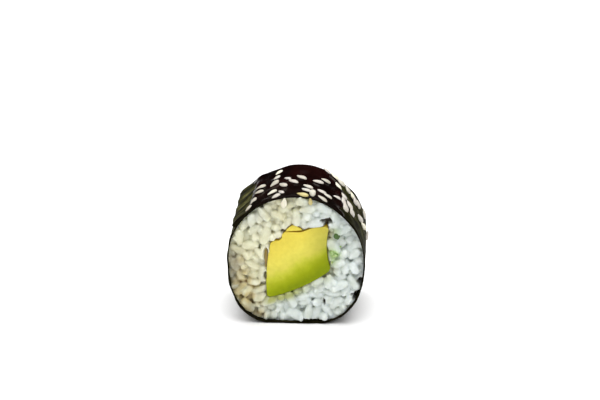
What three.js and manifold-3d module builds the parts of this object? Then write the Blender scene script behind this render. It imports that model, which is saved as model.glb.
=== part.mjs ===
// Avocado maki: one slice of a rice roll wrapped in nori, with an avocado filling and sesame seeds.
// Millimetres, +Z up. The slice rests on its wrapped side: the roll's own axis runs along Y, the
// cut face seen first looks along -Y, and the origin is on the table under the middle of the slice.
import * as THREE from "three";
import { mergeVertices } from "three/addons/utils/BufferGeometryUtils.js";
import Module from "manifold-3d";

const wasm = await Module();
wasm.setup();

// ---- Driving dimensions ------------------------------------------------------------------------

const ROLL_LENGTH = 26; // cut face to cut face: an eighth of a 210 mm sheet of nori
const HALF_WIDTH = 19.5; // roll centre to the side of the wrap
const CROWN_HEIGHT = 20; // roll centre to the top of the wrap
const SEAT_DEPTH = 18.7; // roll centre to the flat that the slice rests on
const SLUMPED_HEIGHT = 19.4; // how far down the section would reach without that flat
const UPPER_ROUNDNESS = 2.0; // superellipse exponent above the centre: 2 is an ellipse
const LOWER_ROUNDNESS = 2.6; // and below it, where the soft slice has slumped square
const SECTION_WAVES = [
  { turns: 3, share: 0.006, phase: 1.1 },
  { turns: 5, share: 0.004, phase: 0.4 },
]; // unevenness of the section, as shares of its radius

const NORI_THICKNESS = 0.5; // wet nori with the sauce that it holds
const FLAP_START = 118; // degrees from +X, where the sheet starts to lie over itself
const FLAP_LENGTH = 31; // degrees of overlap, ending in the sheet's free edge
const FLAP_CLIMB = 8; // degrees over which the outer layer climbs onto the inner one
const FLAP_RISE = 0.45; // how far the outer layer stands out over the inner one
const FLAP_LIFT = 0.7; // how far its free edge has come up from there
const FLAP_CURL = 14; // degrees before the free edge over which it comes up
const EDGE_WAVE = 0.22; // how far the cut edges of the sheet wander along the roll
const WRAP_RELIEF = 0.1; // height of the soft bumps that the rice raises in the sheet
const CROWN_SWELL = { height: 0.55, lean: 6, reach: 16 }; // where it bulges at the back: degrees from the top
const WRAP_COLUMNS = 72; // facets round the roll
const WRAP_STATIONS = 5; // points from cut edge to cut edge on the outside

const FIT_GAP = 0.3; // clearance kept between neighbouring pieces

const GRAINS_PER_FACE = 185; // grains packed behind each cut face
const GRAIN_RADIUS = 1.25;
const GRAIN_ARM = 1.35; // middle of a grain to the centre of its round end
const GRAIN_SPREAD = [0.9, 1.08]; // least and greatest size of a grain, as shares of the usual
const GRAIN_BLUNTNESS = 2.6; // superellipse exponent of a grain's length section
const GRAIN_LEAN = 0.7; // how far grains may point along the roll, as a share of across it
const PACKED_DEPTH = 5.2; // depth of the layer of grains behind a cut face
const FACE_ROUGHNESS = 1.1; // how unevenly the grains stand at the cut face
const STICKINESS = 0.9; // neighbouring grains settle at this share of their full spacing
const SETTLING_ROUNDS = 90;
const CORE_RECESS = 1.2; // cut face to the flat body of rice that the shown grains are fused to
const SHOWN_DEPTH = 0.45; // grains that come this near the cut face are the ones that show

const SEED_LENGTH = 3.25;
const SEED_WIDTH = 1.85;
const SEED_HEIGHT = 1.0;
const SEED_SPREAD = [0.74, 1.05];
const SEED_TAPER = 0.38; // how much narrower a sesame seed is towards its point
const SEED_LIFT = 0.14; // how far the middle of a seed lies above the wrap
const SEED_TIP = [3, 28]; // degrees that seeds are tipped over towards the first cut face
const SEED_SINK = 0.42; // how deep at most a tipped seed lies in the wrap
const SEED_MARGIN = 0.78; // least distance from the middle of a seed to the cut edge of the wrap
const SEED_SPACING = 1.9; // least distance between the middles of two seeds
const SEED_SCATTER = { lean: 0.8, y: 0.4, turn: 10 }; // how far seeds lie off the line of their streak
// The seeds were sprinkled in loose streaks. A streak runs from one place to another, each given as
// degrees from the top, to the right, and y. turn is how far its seeds point along the roll.
const SEED_STREAKS = [
  { from: [-16, 8], to: [-19, -1.2], seeds: 3, turn: -40 },
  { from: [-12, -4], to: [-12, -10], seeds: 2, turn: 55 },
  { from: [-19, -8.3], to: [-15, -12.2], seeds: 2, turn: -18 },
  { from: [-31, 0.5], to: [-31.5, -3.4], seeds: 2, turn: -8 },
  { from: [-35.5, -9.2], to: [-39, -12.2], seeds: 2, turn: -32 },
  { from: [-8, 1.2], to: [2, 1], seeds: 2, turn: 38 },
  { from: [-3, -1.8], to: [9, -5], seeds: 2, turn: 30 },
  { from: [8, -9], to: [5, -12], seeds: 2, turn: 15 },
  { from: [20, -6.4], to: [22, -11], seeds: 2, turn: 15 },
  { from: [26, -7.8], to: [34, -4.5], seeds: 2, turn: 5 },
  { from: [16, 1], to: [22, 4], seeds: 2, turn: -10 },
  { from: [23, 11.8], to: [37, 10.3], seeds: 3, turn: 25 },
  { from: [44, 9.3], to: [58, 6.7], seeds: 4, turn: 35 },
  { from: [35, 5.3], to: [41, 1.2], seeds: 2, turn: 45 },
  { from: [40, -4], to: [44, -6.8], seeds: 2, turn: 62 },
  { from: [48, -1.8], to: [52, -5.2], seeds: 2, turn: 52 },
  { from: [64, -0.5], to: [71, -0.5], seeds: 2, turn: -5 },
  { from: [70, 9], to: [86, 6], seeds: 2, turn: 20 },
];
// One seed stands on its round end and leans to the left. Its place is given in the same way.
const STANDING_SEED = { lean: 13.5, y: -11.8, pitch: 44, sideways: 22 };
const SEEDS_ON_FACE = [
  { x: -3.1, z: 17, depth: 0.75, lean: 8 },
  { x: 4.2, z: 17.2, depth: 0.1, lean: -6 },
]; // two that fell against the rice: depth is from the cut face, lean from upright in degrees

const FRONT_DRAWS = 2024; // starting numbers of the repeatable draws
const BACK_DRAWS = 4051;
const SEED_DRAWS = 77;

// The avocado's cut outline, as seen from the front with the roll's centre at 0, 0. Each side runs
// from its corner to the next one and bulges outwards by the given amount.
const AVOCADO_SIDES = [
  { corner: [-6.9, 6.3], bulge: 0 }, // notch at the left shoulder
  { corner: [-3.9, 6.5], bulge: 0 }, // up the side of the notch
  { corner: [-3.7, 9.0], bulge: -0.1 }, // top, left of the step in it
  { corner: [2.6, 9.2], bulge: 0.15 }, // the step
  { corner: [5.2, 10.6], bulge: 0.1 }, // top, right of the step
  { corner: [9.5, 10.8], bulge: -1.0 }, // right
  { corner: [10.1, -2.1], bulge: 1.1 }, // bottom, once under the skin
  { corner: [-8.0, -11.0], bulge: 0.7 }, // left
];
const AVOCADO_CORNER_RADIUS = 0.7;
const AVOCADO_RECESS = 0.2; // how far the ends lie behind the cut faces
const AVOCADO_SOFT_EDGE = 0.35; // bevel round the ends
const AVOCADO_BACK = { scale: 0.92, turn: -9, shift: [-0.6, 0.5] }; // its outline at the back face

// A thin second slice, which shows as a tip above the first.
const SLIVER_SIDES = [
  { corner: [-2.9, 9.35], bulge: 0.25 },
  { corner: [-0.6, 11.1], bulge: 0.2 },
  { corner: [2.0, 9.8], bulge: 0 },
];
const SLIVER_CORNER_RADIUS = 0.25;
const SLIVER_RECESS = 0.4;
const SLIVER_SOFT_EDGE = 0.2;
const SLIVER_BACK = { scale: 0.92, turn: -9, shift: [-0.6, 0.6] };

// ---- Small mathematics -------------------------------------------------------------------------

const radians = (degrees) => (degrees * Math.PI) / 180;
const mix = (a, b, share) => a + (b - a) * share;

function smoothStep(low, high, value) {
  const share = Math.min(1, Math.max(0, (value - low) / (high - low)));
  return share * share * (3 - 2 * share);
}

// A repeatable sequence of numbers between 0 and 1.
function seededDraws(seed) {
  let state = seed;
  return () => {
    state = (state * 16807) % 2147483647;
    return state / 2147483647;
  };
}

// ---- From three.js geometry to solids and back ---------------------------------------------------

function solidOf(geometry) {
  const bare = geometry.clone();
  bare.deleteAttribute("normal");
  bare.deleteAttribute("uv");
  const merged = mergeVertices(bare, 1e-4);
  return new wasm.Manifold(
    new wasm.Mesh({
      numProp: 3,
      vertProperties: merged.attributes.position.array,
      triVerts: new Uint32Array(merged.index.array),
    }),
  );
}

// The largest body of a solid, which leaves out loose scraps and fills sealed hollows.
function mainBodyOf(solid) {
  const bodies = solid.decompose();
  return bodies.reduce((best, body) => (body.volume() > best.volume() ? body : best));
}

function meshOf(solid, name, material) {
  const { vertProperties, triVerts } = mainBodyOf(solid).getMesh();
  const geometry = new THREE.BufferGeometry();
  geometry.setAttribute("position", new THREE.BufferAttribute(vertProperties, 3));
  geometry.setIndex(new THREE.BufferAttribute(triVerts, 1));
  geometry.computeVertexNormals();
  const mesh = new THREE.Mesh(geometry, material);
  mesh.name = name;
  return mesh;
}

// A skin over a row of loops, which all hold the same number of points. The row is closed by
// joining its last loop to its first, or by a fan of triangles over each end.
function skinOver(loops, joined) {
  const around = loops[0].length;
  const points = loops.flat();
  const faces = [];
  const bands = joined ? loops.length : loops.length - 1;
  for (let band = 0; band < bands; band++) {
    const here = band * around;
    const next = ((band + 1) % loops.length) * around;
    for (let i = 0; i < around; i++) {
      const j = (i + 1) % around;
      faces.push(here + i, next + i, next + j, here + i, next + j, here + j);
    }
  }
  if (!joined) {
    for (const [loop, facesBack] of [[0, true], [loops.length - 1, false]]) {
      const middle = new THREE.Vector3();
      loops[loop].forEach((point) => middle.addScaledVector(point, 1 / around));
      const hub = points.push(middle) - 1;
      for (let i = 0; i < around; i++) {
        const a = loop * around + i;
        const b = loop * around + ((i + 1) % around);
        faces.push(...(facesBack ? [hub, a, b] : [hub, b, a]));
      }
    }
  }
  const geometry = new THREE.BufferGeometry().setFromPoints(points);
  geometry.setIndex(faces);
  return geometry;
}

// ---- The roll's section ----------------------------------------------------------------------------

// Distance from the roll's centre to the outside of a plain wrap, at an angle in radians from +X.
function sectionRadius(angle) {
  const across = Math.abs(Math.cos(angle));
  const up = Math.sin(angle);
  const height = up > 0 ? CROWN_HEIGHT : SLUMPED_HEIGHT;
  const roundness = up > 0 ? UPPER_ROUNDNESS : LOWER_ROUNDNESS;
  const x = (across / HALF_WIDTH) ** roundness;
  const z = (Math.abs(up) / height) ** roundness;
  const uneven = SECTION_WAVES.reduce(
    (sum, { turns, share, phase }) => sum + share * Math.sin(turns * angle + phase),
    1,
  );
  return uneven / (x + z) ** (1 / roundness);
}

// A point of the section at an inset from the outside, which is below 0 for what stands proud. An
// inset point keeps its distance from the seat too, and nothing reaches below the seat.
function sectionPoint(angle, inset, y) {
  const radius = sectionRadius(angle) - inset;
  const floor = Math.max(0, inset) - SEAT_DEPTH;
  return new THREE.Vector3(radius * Math.cos(angle), y, Math.max(radius * Math.sin(angle), floor));
}

function sectionPrism(inset, halfLength) {
  const loops = [-halfLength, halfLength].map((y) =>
    Array.from({ length: WRAP_COLUMNS }, (_, i) =>
      sectionPoint((i / WRAP_COLUMNS) * 2 * Math.PI, inset, y),
    ),
  );
  return solidOf(skinOver(loops, false));
}

// ---- The filling -----------------------------------------------------------------------------------

// An outline of bulging sides with rounded corners, as x, z points seen from the front.
function roundedOutline(sides, cornerRadius) {
  const points = [];
  sides.forEach(({ corner, bulge }, i) => {
    const start = new THREE.Vector2(...corner);
    const end = new THREE.Vector2(...sides[(i + 1) % sides.length].corner);
    const along = end.clone().sub(start);
    const length = along.length();
    along.normalize();
    const outwards = new THREE.Vector2(-along.y, along.x);
    const trim = cornerRadius / length;
    const steps = Math.max(2, Math.round(length / 2));
    for (let k = 0; k <= steps; k++) {
      const share = mix(trim, 1 - trim, k / steps);
      const rise = 4 * bulge * share * (1 - share);
      points.push(start.clone().lerp(end, share).addScaledVector(outwards, rise));
    }
  });
  return points;
}

// The same outline moved, turned and scaled by a share of what changes it from face to face.
function outlineAt(outline, back, share) {
  const turn = radians(back.turn) * share;
  const scale = mix(1, back.scale, share);
  const shift = new THREE.Vector2(...back.shift).multiplyScalar(share);
  return outline.map((point) =>
    point.clone().rotateAround(new THREE.Vector2(), turn).multiplyScalar(scale).add(shift),
  );
}

// The outline moved outwards by an amount, or inwards if it is negative.
function grown(outline, amount) {
  const count = outline.length;
  return outline.map((point, i) => {
    const before = outline[(i + count - 1) % count];
    const after = outline[(i + 1) % count];
    const along = after.clone().sub(before).normalize();
    return point.clone().add(new THREE.Vector2(-along.y, along.x).multiplyScalar(amount));
  });
}

// A strip of filling along the roll with softened ends, or grown, the room that it takes.
function fillingStrip(outline, back, halfLength, softEdge, growth = 0) {
  const stations = [
    [-halfLength, -softEdge],
    [softEdge - halfLength, 0],
    [-halfLength / 3, 0],
    [halfLength / 3, 0],
    [halfLength - softEdge, 0],
    [halfLength, -softEdge],
  ];
  const loops = stations.map(([y, inset]) => {
    const ring = grown(outlineAt(outline, back, 0.5 + y / ROLL_LENGTH), inset + growth);
    return ring.map((point) => new THREE.Vector3(point.x, y, point.y)).reverse();
  });
  return solidOf(skinOver(loops, false));
}

const avocadoOutline = roundedOutline(AVOCADO_SIDES, AVOCADO_CORNER_RADIUS);
const sliverOutline = roundedOutline(SLIVER_SIDES, SLIVER_CORNER_RADIUS);

// ---- Rice ------------------------------------------------------------------------------------------

// Signed distance from a closed outline, below 0 inside it, with the unit direction that leads out.
function awayFrom(outline, x, z) {
  let nearest = Infinity;
  let away = [0, 0];
  let inside = false;
  for (let i = 0, j = outline.length - 1; i < outline.length; j = i++) {
    const [ax, az, bx, bz] = [outline[j].x, outline[j].y, outline[i].x, outline[i].y];
    const [ex, ez] = [bx - ax, bz - az];
    const along = ((x - ax) * ex + (z - az) * ez) / (ex * ex + ez * ez);
    const share = Math.min(1, Math.max(0, along));
    const [dx, dz] = [x - ax - share * ex, z - az - share * ez];
    const distance = Math.sqrt(dx * dx + dz * dz);
    if (distance < nearest) {
      nearest = distance;
      away = [dx / distance, dz / distance];
    }
    if (az > z !== bz > z && x < ax + ((z - az) * ex) / ez) inside = !inside;
  }
  return inside ? { distance: -nearest, away: [-away[0], -away[1]] } : { distance: nearest, away };
}

// How far a round end of a grain has to move so that it lies between the wrap, the filling, the
// uneven cut face and the back of the packed layer. The middle number is the depth behind the face.
function pushIntoPlace([x, depth, z], radius, proud, fillings) {
  const push = [0, 0, 0];
  const out = Math.sqrt(x * x + z * z);
  const limit = sectionRadius(Math.atan2(z, x)) - NORI_THICKNESS - FIT_GAP - radius;
  if (out > limit) {
    push[0] -= (x / out) * (out - limit);
    push[2] -= (z / out) * (out - limit);
  }
  const floor = NORI_THICKNESS + FIT_GAP + radius - SEAT_DEPTH;
  if (z < floor) push[2] += floor - z;
  for (const outline of fillings) {
    const { distance, away } = awayFrom(outline, x, z);
    if (distance < radius) {
      push[0] += away[0] * (radius - distance);
      push[2] += away[1] * (radius - distance);
    }
  }
  if (depth < radius - proud) push[1] += radius - proud - depth;
  if (depth > PACKED_DEPTH - radius) push[1] -= depth - PACKED_DEPTH + radius;
  return push;
}

function beadsOf({ centre, axis }) {
  return [-1, 0, 1].map((k) => centre.map((value, i) => value + k * GRAIN_ARM * axis[i]));
}

// One round of settling: each grain is three beads in a row, and beads that meet push apart.
function settle(grains, fillings) {
  const beads = grains.map(beadsOf);
  const pushes = grains.map(({ radius, proud }, g) =>
    beads[g].map((bead) => pushIntoPlace(bead, radius, proud, fillings)),
  );
  for (let g = 0; g < grains.length; g++) {
    for (let h = g + 1; h < grains.length; h++) {
      const reach = (grains[g].radius + grains[h].radius) * STICKINESS;
      const gap = grains[g].centre.map((value, i) => grains[h].centre[i] - value);
      if (Math.hypot(...gap) > reach + 2 * GRAIN_ARM) continue;
      for (let a = 0; a < 3; a++) {
        for (let b = 0; b < 3; b++) {
          const between = beads[g][a].map((value, i) => beads[h][b][i] - value);
          const distance = Math.sqrt(between[0] ** 2 + between[1] ** 2 + between[2] ** 2);
          if (distance >= reach) continue;
          const share = (0.5 * (reach - distance)) / distance;
          for (let i = 0; i < 3; i++) {
            pushes[g][a][i] -= between[i] * share;
            pushes[h][b][i] += between[i] * share;
          }
        }
      }
    }
  }
  grains.forEach((grain, g) => {
    const [first, middle, last] = pushes[g];
    const turned = grain.axis.map((value, i) => value + (last[i] - first[i]) / (4 * GRAIN_ARM));
    const length = Math.hypot(...turned);
    grain.centre = grain.centre.map((value, i) => value + (first[i] + middle[i] + last[i]) / 3);
    grain.axis = turned.map((value) => value / length);
  });
}

function packedGrains(fillings, seed) {
  const draw = seededDraws(seed);
  const grains = [];
  while (grains.length < GRAINS_PER_FACE) {
    const x = mix(-HALF_WIDTH, HALF_WIDTH, draw());
    const z = mix(-SEAT_DEPTH, CROWN_HEIGHT, draw());
    const depth = mix(0, PACKED_DEPTH, draw());
    const lean = [mix(-1, 1, draw()), mix(-GRAIN_LEAN, GRAIN_LEAN, draw()), mix(-1, 1, draw())];
    const radius = GRAIN_RADIUS * mix(...GRAIN_SPREAD, draw());
    const proud = FACE_ROUGHNESS * (draw() - 0.5);
    const outsideWrap = Math.hypot(x, z) > sectionRadius(Math.atan2(z, x)) - radius;
    const inFilling = fillings.some((outline) => awayFrom(outline, x, z).distance < 0);
    if (outsideWrap || inFilling) continue;
    const length = Math.hypot(...lean);
    grains.push({ centre: [x, depth, z], axis: lean.map((v) => v / length), radius, proud });
  }
  for (let round = 0; round < SETTLING_ROUNDS; round++) settle(grains, fillings);
  return grains;
}

// A grain as a solid, blunter than an ellipsoid. side is -1 at the front face and 1 at the back.
function grainSolid({ centre, axis, radius }, side) {
  const geometry = new THREE.SphereGeometry(1, 5, 4);
  const positions = geometry.attributes.position;
  for (let i = 0; i < positions.count; i++) {
    const reach = Math.min(1, Math.abs(positions.getY(i)));
    const round = Math.hypot(positions.getX(i), positions.getZ(i));
    if (round < 0.1) continue;
    const blunt = (1 - reach ** GRAIN_BLUNTNESS) ** (1 / GRAIN_BLUNTNESS) / round;
    positions.setX(i, positions.getX(i) * blunt);
    positions.setZ(i, positions.getZ(i) * blunt);
  }
  geometry.scale(radius, GRAIN_ARM + radius, radius);
  const along = new THREE.Vector3(axis[0], -side * axis[1], axis[2]);
  const turn = new THREE.Quaternion().setFromUnitVectors(new THREE.Vector3(0, 1, 0), along);
  geometry.applyQuaternion(turn);
  geometry.translate(centre[0], side * (ROLL_LENGTH / 2 - centre[1]), centre[2]);
  return solidOf(geometry);
}

function shownGrains(fillings, side) {
  const share = (side + 1) / 2;
  const outlines = fillings.map(([outline, back]) => outlineAt(outline, back, share));
  const packed = packedGrains(outlines, side < 0 ? FRONT_DRAWS : BACK_DRAWS);
  const showing = packed.filter(({ centre, axis, radius }) => {
    const reach = Math.abs(axis[1]) * GRAIN_ARM + radius;
    return centre[1] - reach < SHOWN_DEPTH;
  });
  return showing.map((grain) => grainSolid(grain, side));
}

function seedsOnFace() {
  const outwards = new THREE.Vector3(0, -1, 0);
  return SEEDS_ON_FACE.map(({ x, z, depth, lean }) => {
    const heading = new THREE.Vector3(Math.sin(radians(lean)), 0, Math.cos(radians(lean)));
    return laidSeed(new THREE.Vector3(x, depth - ROLL_LENGTH / 2, z), outwards, heading, 1);
  });
}

function riceSolid() {
  const fillings = [
    [avocadoOutline, AVOCADO_BACK],
    [sliverOutline, SLIVER_BACK],
  ];
  const core = sectionPrism(NORI_THICKNESS + FIT_GAP, ROLL_LENGTH / 2 - CORE_RECESS);
  const room = sectionPrism(NORI_THICKNESS + FIT_GAP, ROLL_LENGTH);
  const grains = [-1, 1].flatMap((side) => shownGrains(fillings, side));
  const pastFaces = ROLL_LENGTH / 2 + 2;
  const holes = fillings.map(([outline, back]) =>
    fillingStrip(outline, back, pastFaces, 0.1, FIT_GAP),
  );
  const body = wasm.Manifold.union([core, ...grains, ...seedsOnFace()]).intersect(room);
  return body.subtract(wasm.Manifold.union(holes));
}

// ---- Nori and sesame ---------------------------------------------------------------------------------

// How far the outside of the wrap stands off the plain section: soft bumps everywhere but on the
// seat, and a second layer of the sheet where it lies over itself.
function wrapRise(angle, y) {
  const degrees = (((angle * 180) / Math.PI) % 360 + 360) % 360;
  const broad = Math.sin(11 * angle + 0.35 * y) * Math.cos(0.55 * y + 2 * angle);
  const fine = 0.6 * Math.sin(17 * angle - 0.8 * y + 1.3);
  const offSeat = 1 - smoothStep(48, 62, 90 - Math.abs(degrees - 270));
  const off = (90 - CROWN_SWELL.lean - degrees) / CROWN_SWELL.reach;
  const swell = CROWN_SWELL.height * Math.exp(-off * off) * smoothStep(-2, ROLL_LENGTH / 2, y);
  const relief = WRAP_RELIEF * (broad + fine) * offSeat + swell;
  const flapEnd = FLAP_START + FLAP_LENGTH;
  if (degrees >= flapEnd) return relief;
  const climb = FLAP_RISE * smoothStep(FLAP_START, FLAP_START + FLAP_CLIMB, degrees);
  return relief + climb + FLAP_LIFT * smoothStep(flapEnd - FLAP_CURL, flapEnd, degrees);
}

const wrapPoint = (angle, y) => sectionPoint(angle, -wrapRise(angle, y), y);

function wrapEdge(angle, side) {
  const wave = Math.sin(3 * angle + side) + 0.6 * Math.sin(8 * angle + 2.2 * side);
  return side * (ROLL_LENGTH / 2) + EDGE_WAVE * wave;
}

function wrapSolid() {
  const columns = Array.from({ length: WRAP_COLUMNS }, (_, i) => (i / WRAP_COLUMNS) * 2 * Math.PI);
  const freeEdge = radians(FLAP_START + FLAP_LENGTH);
  columns.push(freeEdge - 0.004, freeEdge);
  columns.sort((a, b) => a - b);
  const loops = columns.map((angle) => {
    const [front, back] = [wrapEdge(angle, -1), wrapEdge(angle, 1)];
    const outer = Array.from({ length: WRAP_STATIONS }, (_, i) =>
      wrapPoint(angle, mix(front, back, i / (WRAP_STATIONS - 1))),
    );
    const inner = [back, front].map((y) => sectionPoint(angle, NORI_THICKNESS, y));
    return [...outer, ...inner].reverse();
  });
  return solidOf(skinOver(loops, true));
}

// A sesame seed: flat, round at one end and drawn to a point at the other.
function seedGeometry(scale) {
  const geometry = new THREE.SphereGeometry(1, 5, 4);
  const positions = geometry.attributes.position;
  for (let i = 0; i < positions.count; i++) {
    const taper = 1 - SEED_TAPER * smoothStep(-0.4, 1, positions.getY(i));
    positions.setX(i, positions.getX(i) * taper);
    positions.setZ(i, positions.getZ(i) * taper);
  }
  geometry.scale((scale * SEED_WIDTH) / 2, (scale * SEED_LENGTH) / 2, (scale * SEED_HEIGHT) / 2);
  return geometry;
}

// Lays a seed on a surface: flat on its normal, pointing along a heading within the surface.
function laidSeed(place, normal, heading, scale) {
  const up = normal.clone().normalize();
  const across = heading.clone().cross(up).normalize();
  const along = up.clone().cross(across);
  const turn = new THREE.Matrix4().makeBasis(across, along, up);
  return solidOf(seedGeometry(scale).applyMatrix4(turn.setPosition(place)));
}

// Places for the seeds along their streaks. A seed that meets another one is scattered further.
function seedPlaces() {
  const draw = seededDraws(SEED_DRAWS);
  const scattered = (reach) => reach * mix(-1, 1, draw());
  const edge = ROLL_LENGTH / 2 - SEED_MARGIN;
  const places = [];
  for (const { from, to, seeds, turn } of SEED_STREAKS) {
    for (let k = 0; k < seeds; k++) {
      const share = k / (seeds - 1);
      for (let further = 1; ; further += 0.2) {
        const lean = mix(from[0], to[0], share) + scattered(further * SEED_SCATTER.lean);
        const along = mix(from[1], to[1], share) + scattered(further * SEED_SCATTER.y);
        const y = Math.min(edge, Math.max(-edge, along));
        const angle = radians(90 - lean);
        const place = wrapPoint(angle, y);
        if (places.some((other) => other.place.distanceTo(place) < SEED_SPACING)) continue;
        const heading = radians(turn + scattered(SEED_SCATTER.turn));
        places.push({ angle, y, place, turn: heading, scale: mix(...SEED_SPREAD, draw()) });
        break;
      }
    }
  }
  return places;
}

function wrapDirections(angle, y) {
  const step = 0.02;
  const around = wrapPoint(angle + step, y).sub(wrapPoint(angle - step, y)).normalize();
  const along = new THREE.Vector3(0, 1, 0);
  return { around, along, normal: along.clone().cross(around).normalize() };
}

// How far a tipped seed reaches down from its middle.
function seedDrop(turn, tip, scale) {
  const length = SEED_LENGTH * Math.sin(turn) * Math.sin(tip);
  const width = SEED_WIDTH * Math.cos(turn) * Math.sin(tip);
  return (scale * Math.hypot(length, width, SEED_HEIGHT * Math.cos(tip))) / 2;
}

function seedsOnWrap() {
  const draw = seededDraws(SEED_DRAWS + 2);
  const seeds = seedPlaces().map(({ angle, y, place, turn, scale }) => {
    const { around, along, normal } = wrapDirections(angle, y);
    const tip = radians(mix(...SEED_TIP, draw()));
    const lift = Math.max(SEED_LIFT, seedDrop(turn, tip, scale) - SEED_SINK);
    const heading = around.multiplyScalar(Math.cos(turn)).addScaledVector(along, Math.sin(turn));
    const tipped = normal.clone().multiplyScalar(Math.cos(tip)).addScaledVector(along, -Math.sin(tip));
    return laidSeed(place.clone().addScaledVector(normal, lift), tipped, heading, scale);
  });
  return [...seeds, standingSeed()];
}

function standingSeed() {
  const { lean, y, pitch, sideways } = STANDING_SEED;
  const angle = radians(90 - lean);
  const { around, along, normal } = wrapDirections(angle, y);
  const upright = normal.clone().multiplyScalar(Math.cos(radians(sideways)));
  upright.addScaledVector(around, Math.sin(radians(sideways)));
  const [level, raised] = [Math.cos(radians(pitch)), Math.sin(radians(pitch))];
  const heading = along.clone().multiplyScalar(level).addScaledVector(upright, raised);
  const facing = upright.clone().multiplyScalar(level).addScaledVector(along, -raised);
  const place = wrapPoint(angle, y).addScaledVector(heading, 0.38 * SEED_LENGTH);
  return laidSeed(place.addScaledVector(normal, SEED_LIFT), facing, heading, 1);
}

// ---- The slice ---------------------------------------------------------------------------------------

const rice = new THREE.MeshStandardMaterial({ color: 0xd9ddd0, roughness: 0.45, metalness: 0 });
const flesh = new THREE.MeshStandardMaterial({ color: 0xd3cc52, roughness: 0.4, metalness: 0 });
const nori = new THREE.MeshStandardMaterial({ color: 0x17110c, roughness: 0.3, metalness: 0 });

const avocadoSolid = fillingStrip(
  avocadoOutline,
  AVOCADO_BACK,
  ROLL_LENGTH / 2 - AVOCADO_RECESS,
  AVOCADO_SOFT_EDGE,
);
const sliverSolid = fillingStrip(
  sliverOutline,
  SLIVER_BACK,
  ROLL_LENGTH / 2 - SLIVER_RECESS,
  SLIVER_SOFT_EDGE,
);

const slice = new THREE.Group();
slice.position.z = SEAT_DEPTH;
slice.add(
  meshOf(wasm.Manifold.union([wrapSolid(), ...seedsOnWrap()]), "nori_wrap", nori),
  meshOf(riceSolid(), "rice", rice),
  meshOf(avocadoSolid, "avocado", flesh),
  meshOf(sliverSolid, "avocado_sliver", flesh),
);

const roll = new THREE.Group();
roll.add(slice);
export default roll;
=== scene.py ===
# One slice of avocado maki: rice and avocado in nori, with a thin dark sauce and sesame on top.
# Sizes are in millimetres in the frame of the slice, +Z up, with the roll's own axis along Y and the
# cut face that shows first towards -Y. Meshes are turned into metres where they are made.
import math

import bpy
import numpy as np
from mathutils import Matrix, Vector, kdtree, noise


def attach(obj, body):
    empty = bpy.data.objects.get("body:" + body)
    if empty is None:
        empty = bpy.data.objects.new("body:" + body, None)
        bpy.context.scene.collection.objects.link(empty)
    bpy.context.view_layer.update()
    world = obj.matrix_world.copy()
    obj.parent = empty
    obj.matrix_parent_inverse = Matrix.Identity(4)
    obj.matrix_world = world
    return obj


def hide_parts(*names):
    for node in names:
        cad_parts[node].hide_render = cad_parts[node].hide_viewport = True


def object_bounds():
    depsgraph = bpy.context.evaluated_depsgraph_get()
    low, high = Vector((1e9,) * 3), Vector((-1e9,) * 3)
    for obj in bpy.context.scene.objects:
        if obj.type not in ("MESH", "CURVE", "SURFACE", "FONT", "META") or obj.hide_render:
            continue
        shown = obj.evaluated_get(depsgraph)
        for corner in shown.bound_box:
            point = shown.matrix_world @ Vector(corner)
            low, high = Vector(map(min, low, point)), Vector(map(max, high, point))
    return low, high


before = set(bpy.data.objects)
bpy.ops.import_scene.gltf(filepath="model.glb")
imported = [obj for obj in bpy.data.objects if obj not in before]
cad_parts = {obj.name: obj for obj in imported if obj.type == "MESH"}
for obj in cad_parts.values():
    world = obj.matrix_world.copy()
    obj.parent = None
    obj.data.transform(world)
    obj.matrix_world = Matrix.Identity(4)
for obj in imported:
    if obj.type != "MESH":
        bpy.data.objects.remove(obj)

cad_box = [list(corner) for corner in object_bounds()]
MM = 0.001
LOWEST, HIGHEST = np.array(cad_box) / MM

# ---- Driving dimensions ----

ROLL_LENGTH = 26.0
HALF_LENGTH = ROLL_LENGTH / 2
HALF_WIDTH = 19.5
CROWN_HEIGHT = 20.0
SEAT_DEPTH = 18.7  # roll centre to the table
SLUMPED_HEIGHT = 19.4
UPPER_ROUNDNESS = 2.0
LOWER_ROUNDNESS = 2.6
SECTION_WAVES = [(3, 0.006, 1.1), (5, 0.004, 0.4)]  # turns, share of the radius, phase

NORI_THICKNESS = 0.5
FLAP_START = 118.0  # degrees from +X, where the sheet starts to lie over itself
FLAP_LENGTH = 31.0
FLAP_CLIMB = 8.0
FLAP_RISE = 0.45
FLAP_LIFT = 0.7
FLAP_CURL = 14.0
EDGE_WAVE = 0.22
WRAP_RELIEF = 0.1
CROWN_SWELL = (0.55, 6.0, 16.0)  # height, degrees from the top and reach in degrees, at the back
WRAP_COLUMNS = 480
WRAP_STATIONS = 60
SECTION_COLUMNS = 96
NORI_CREASES = (0.07, 0.05)  # height of the broad and the fine ones
NORI_TEAR = 0.1  # how ragged its cut edges are
NORI_INNER_STATIONS = (1.0, 0.8, 0.5, 0.2, 0.0)  # share of the slice's length

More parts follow.
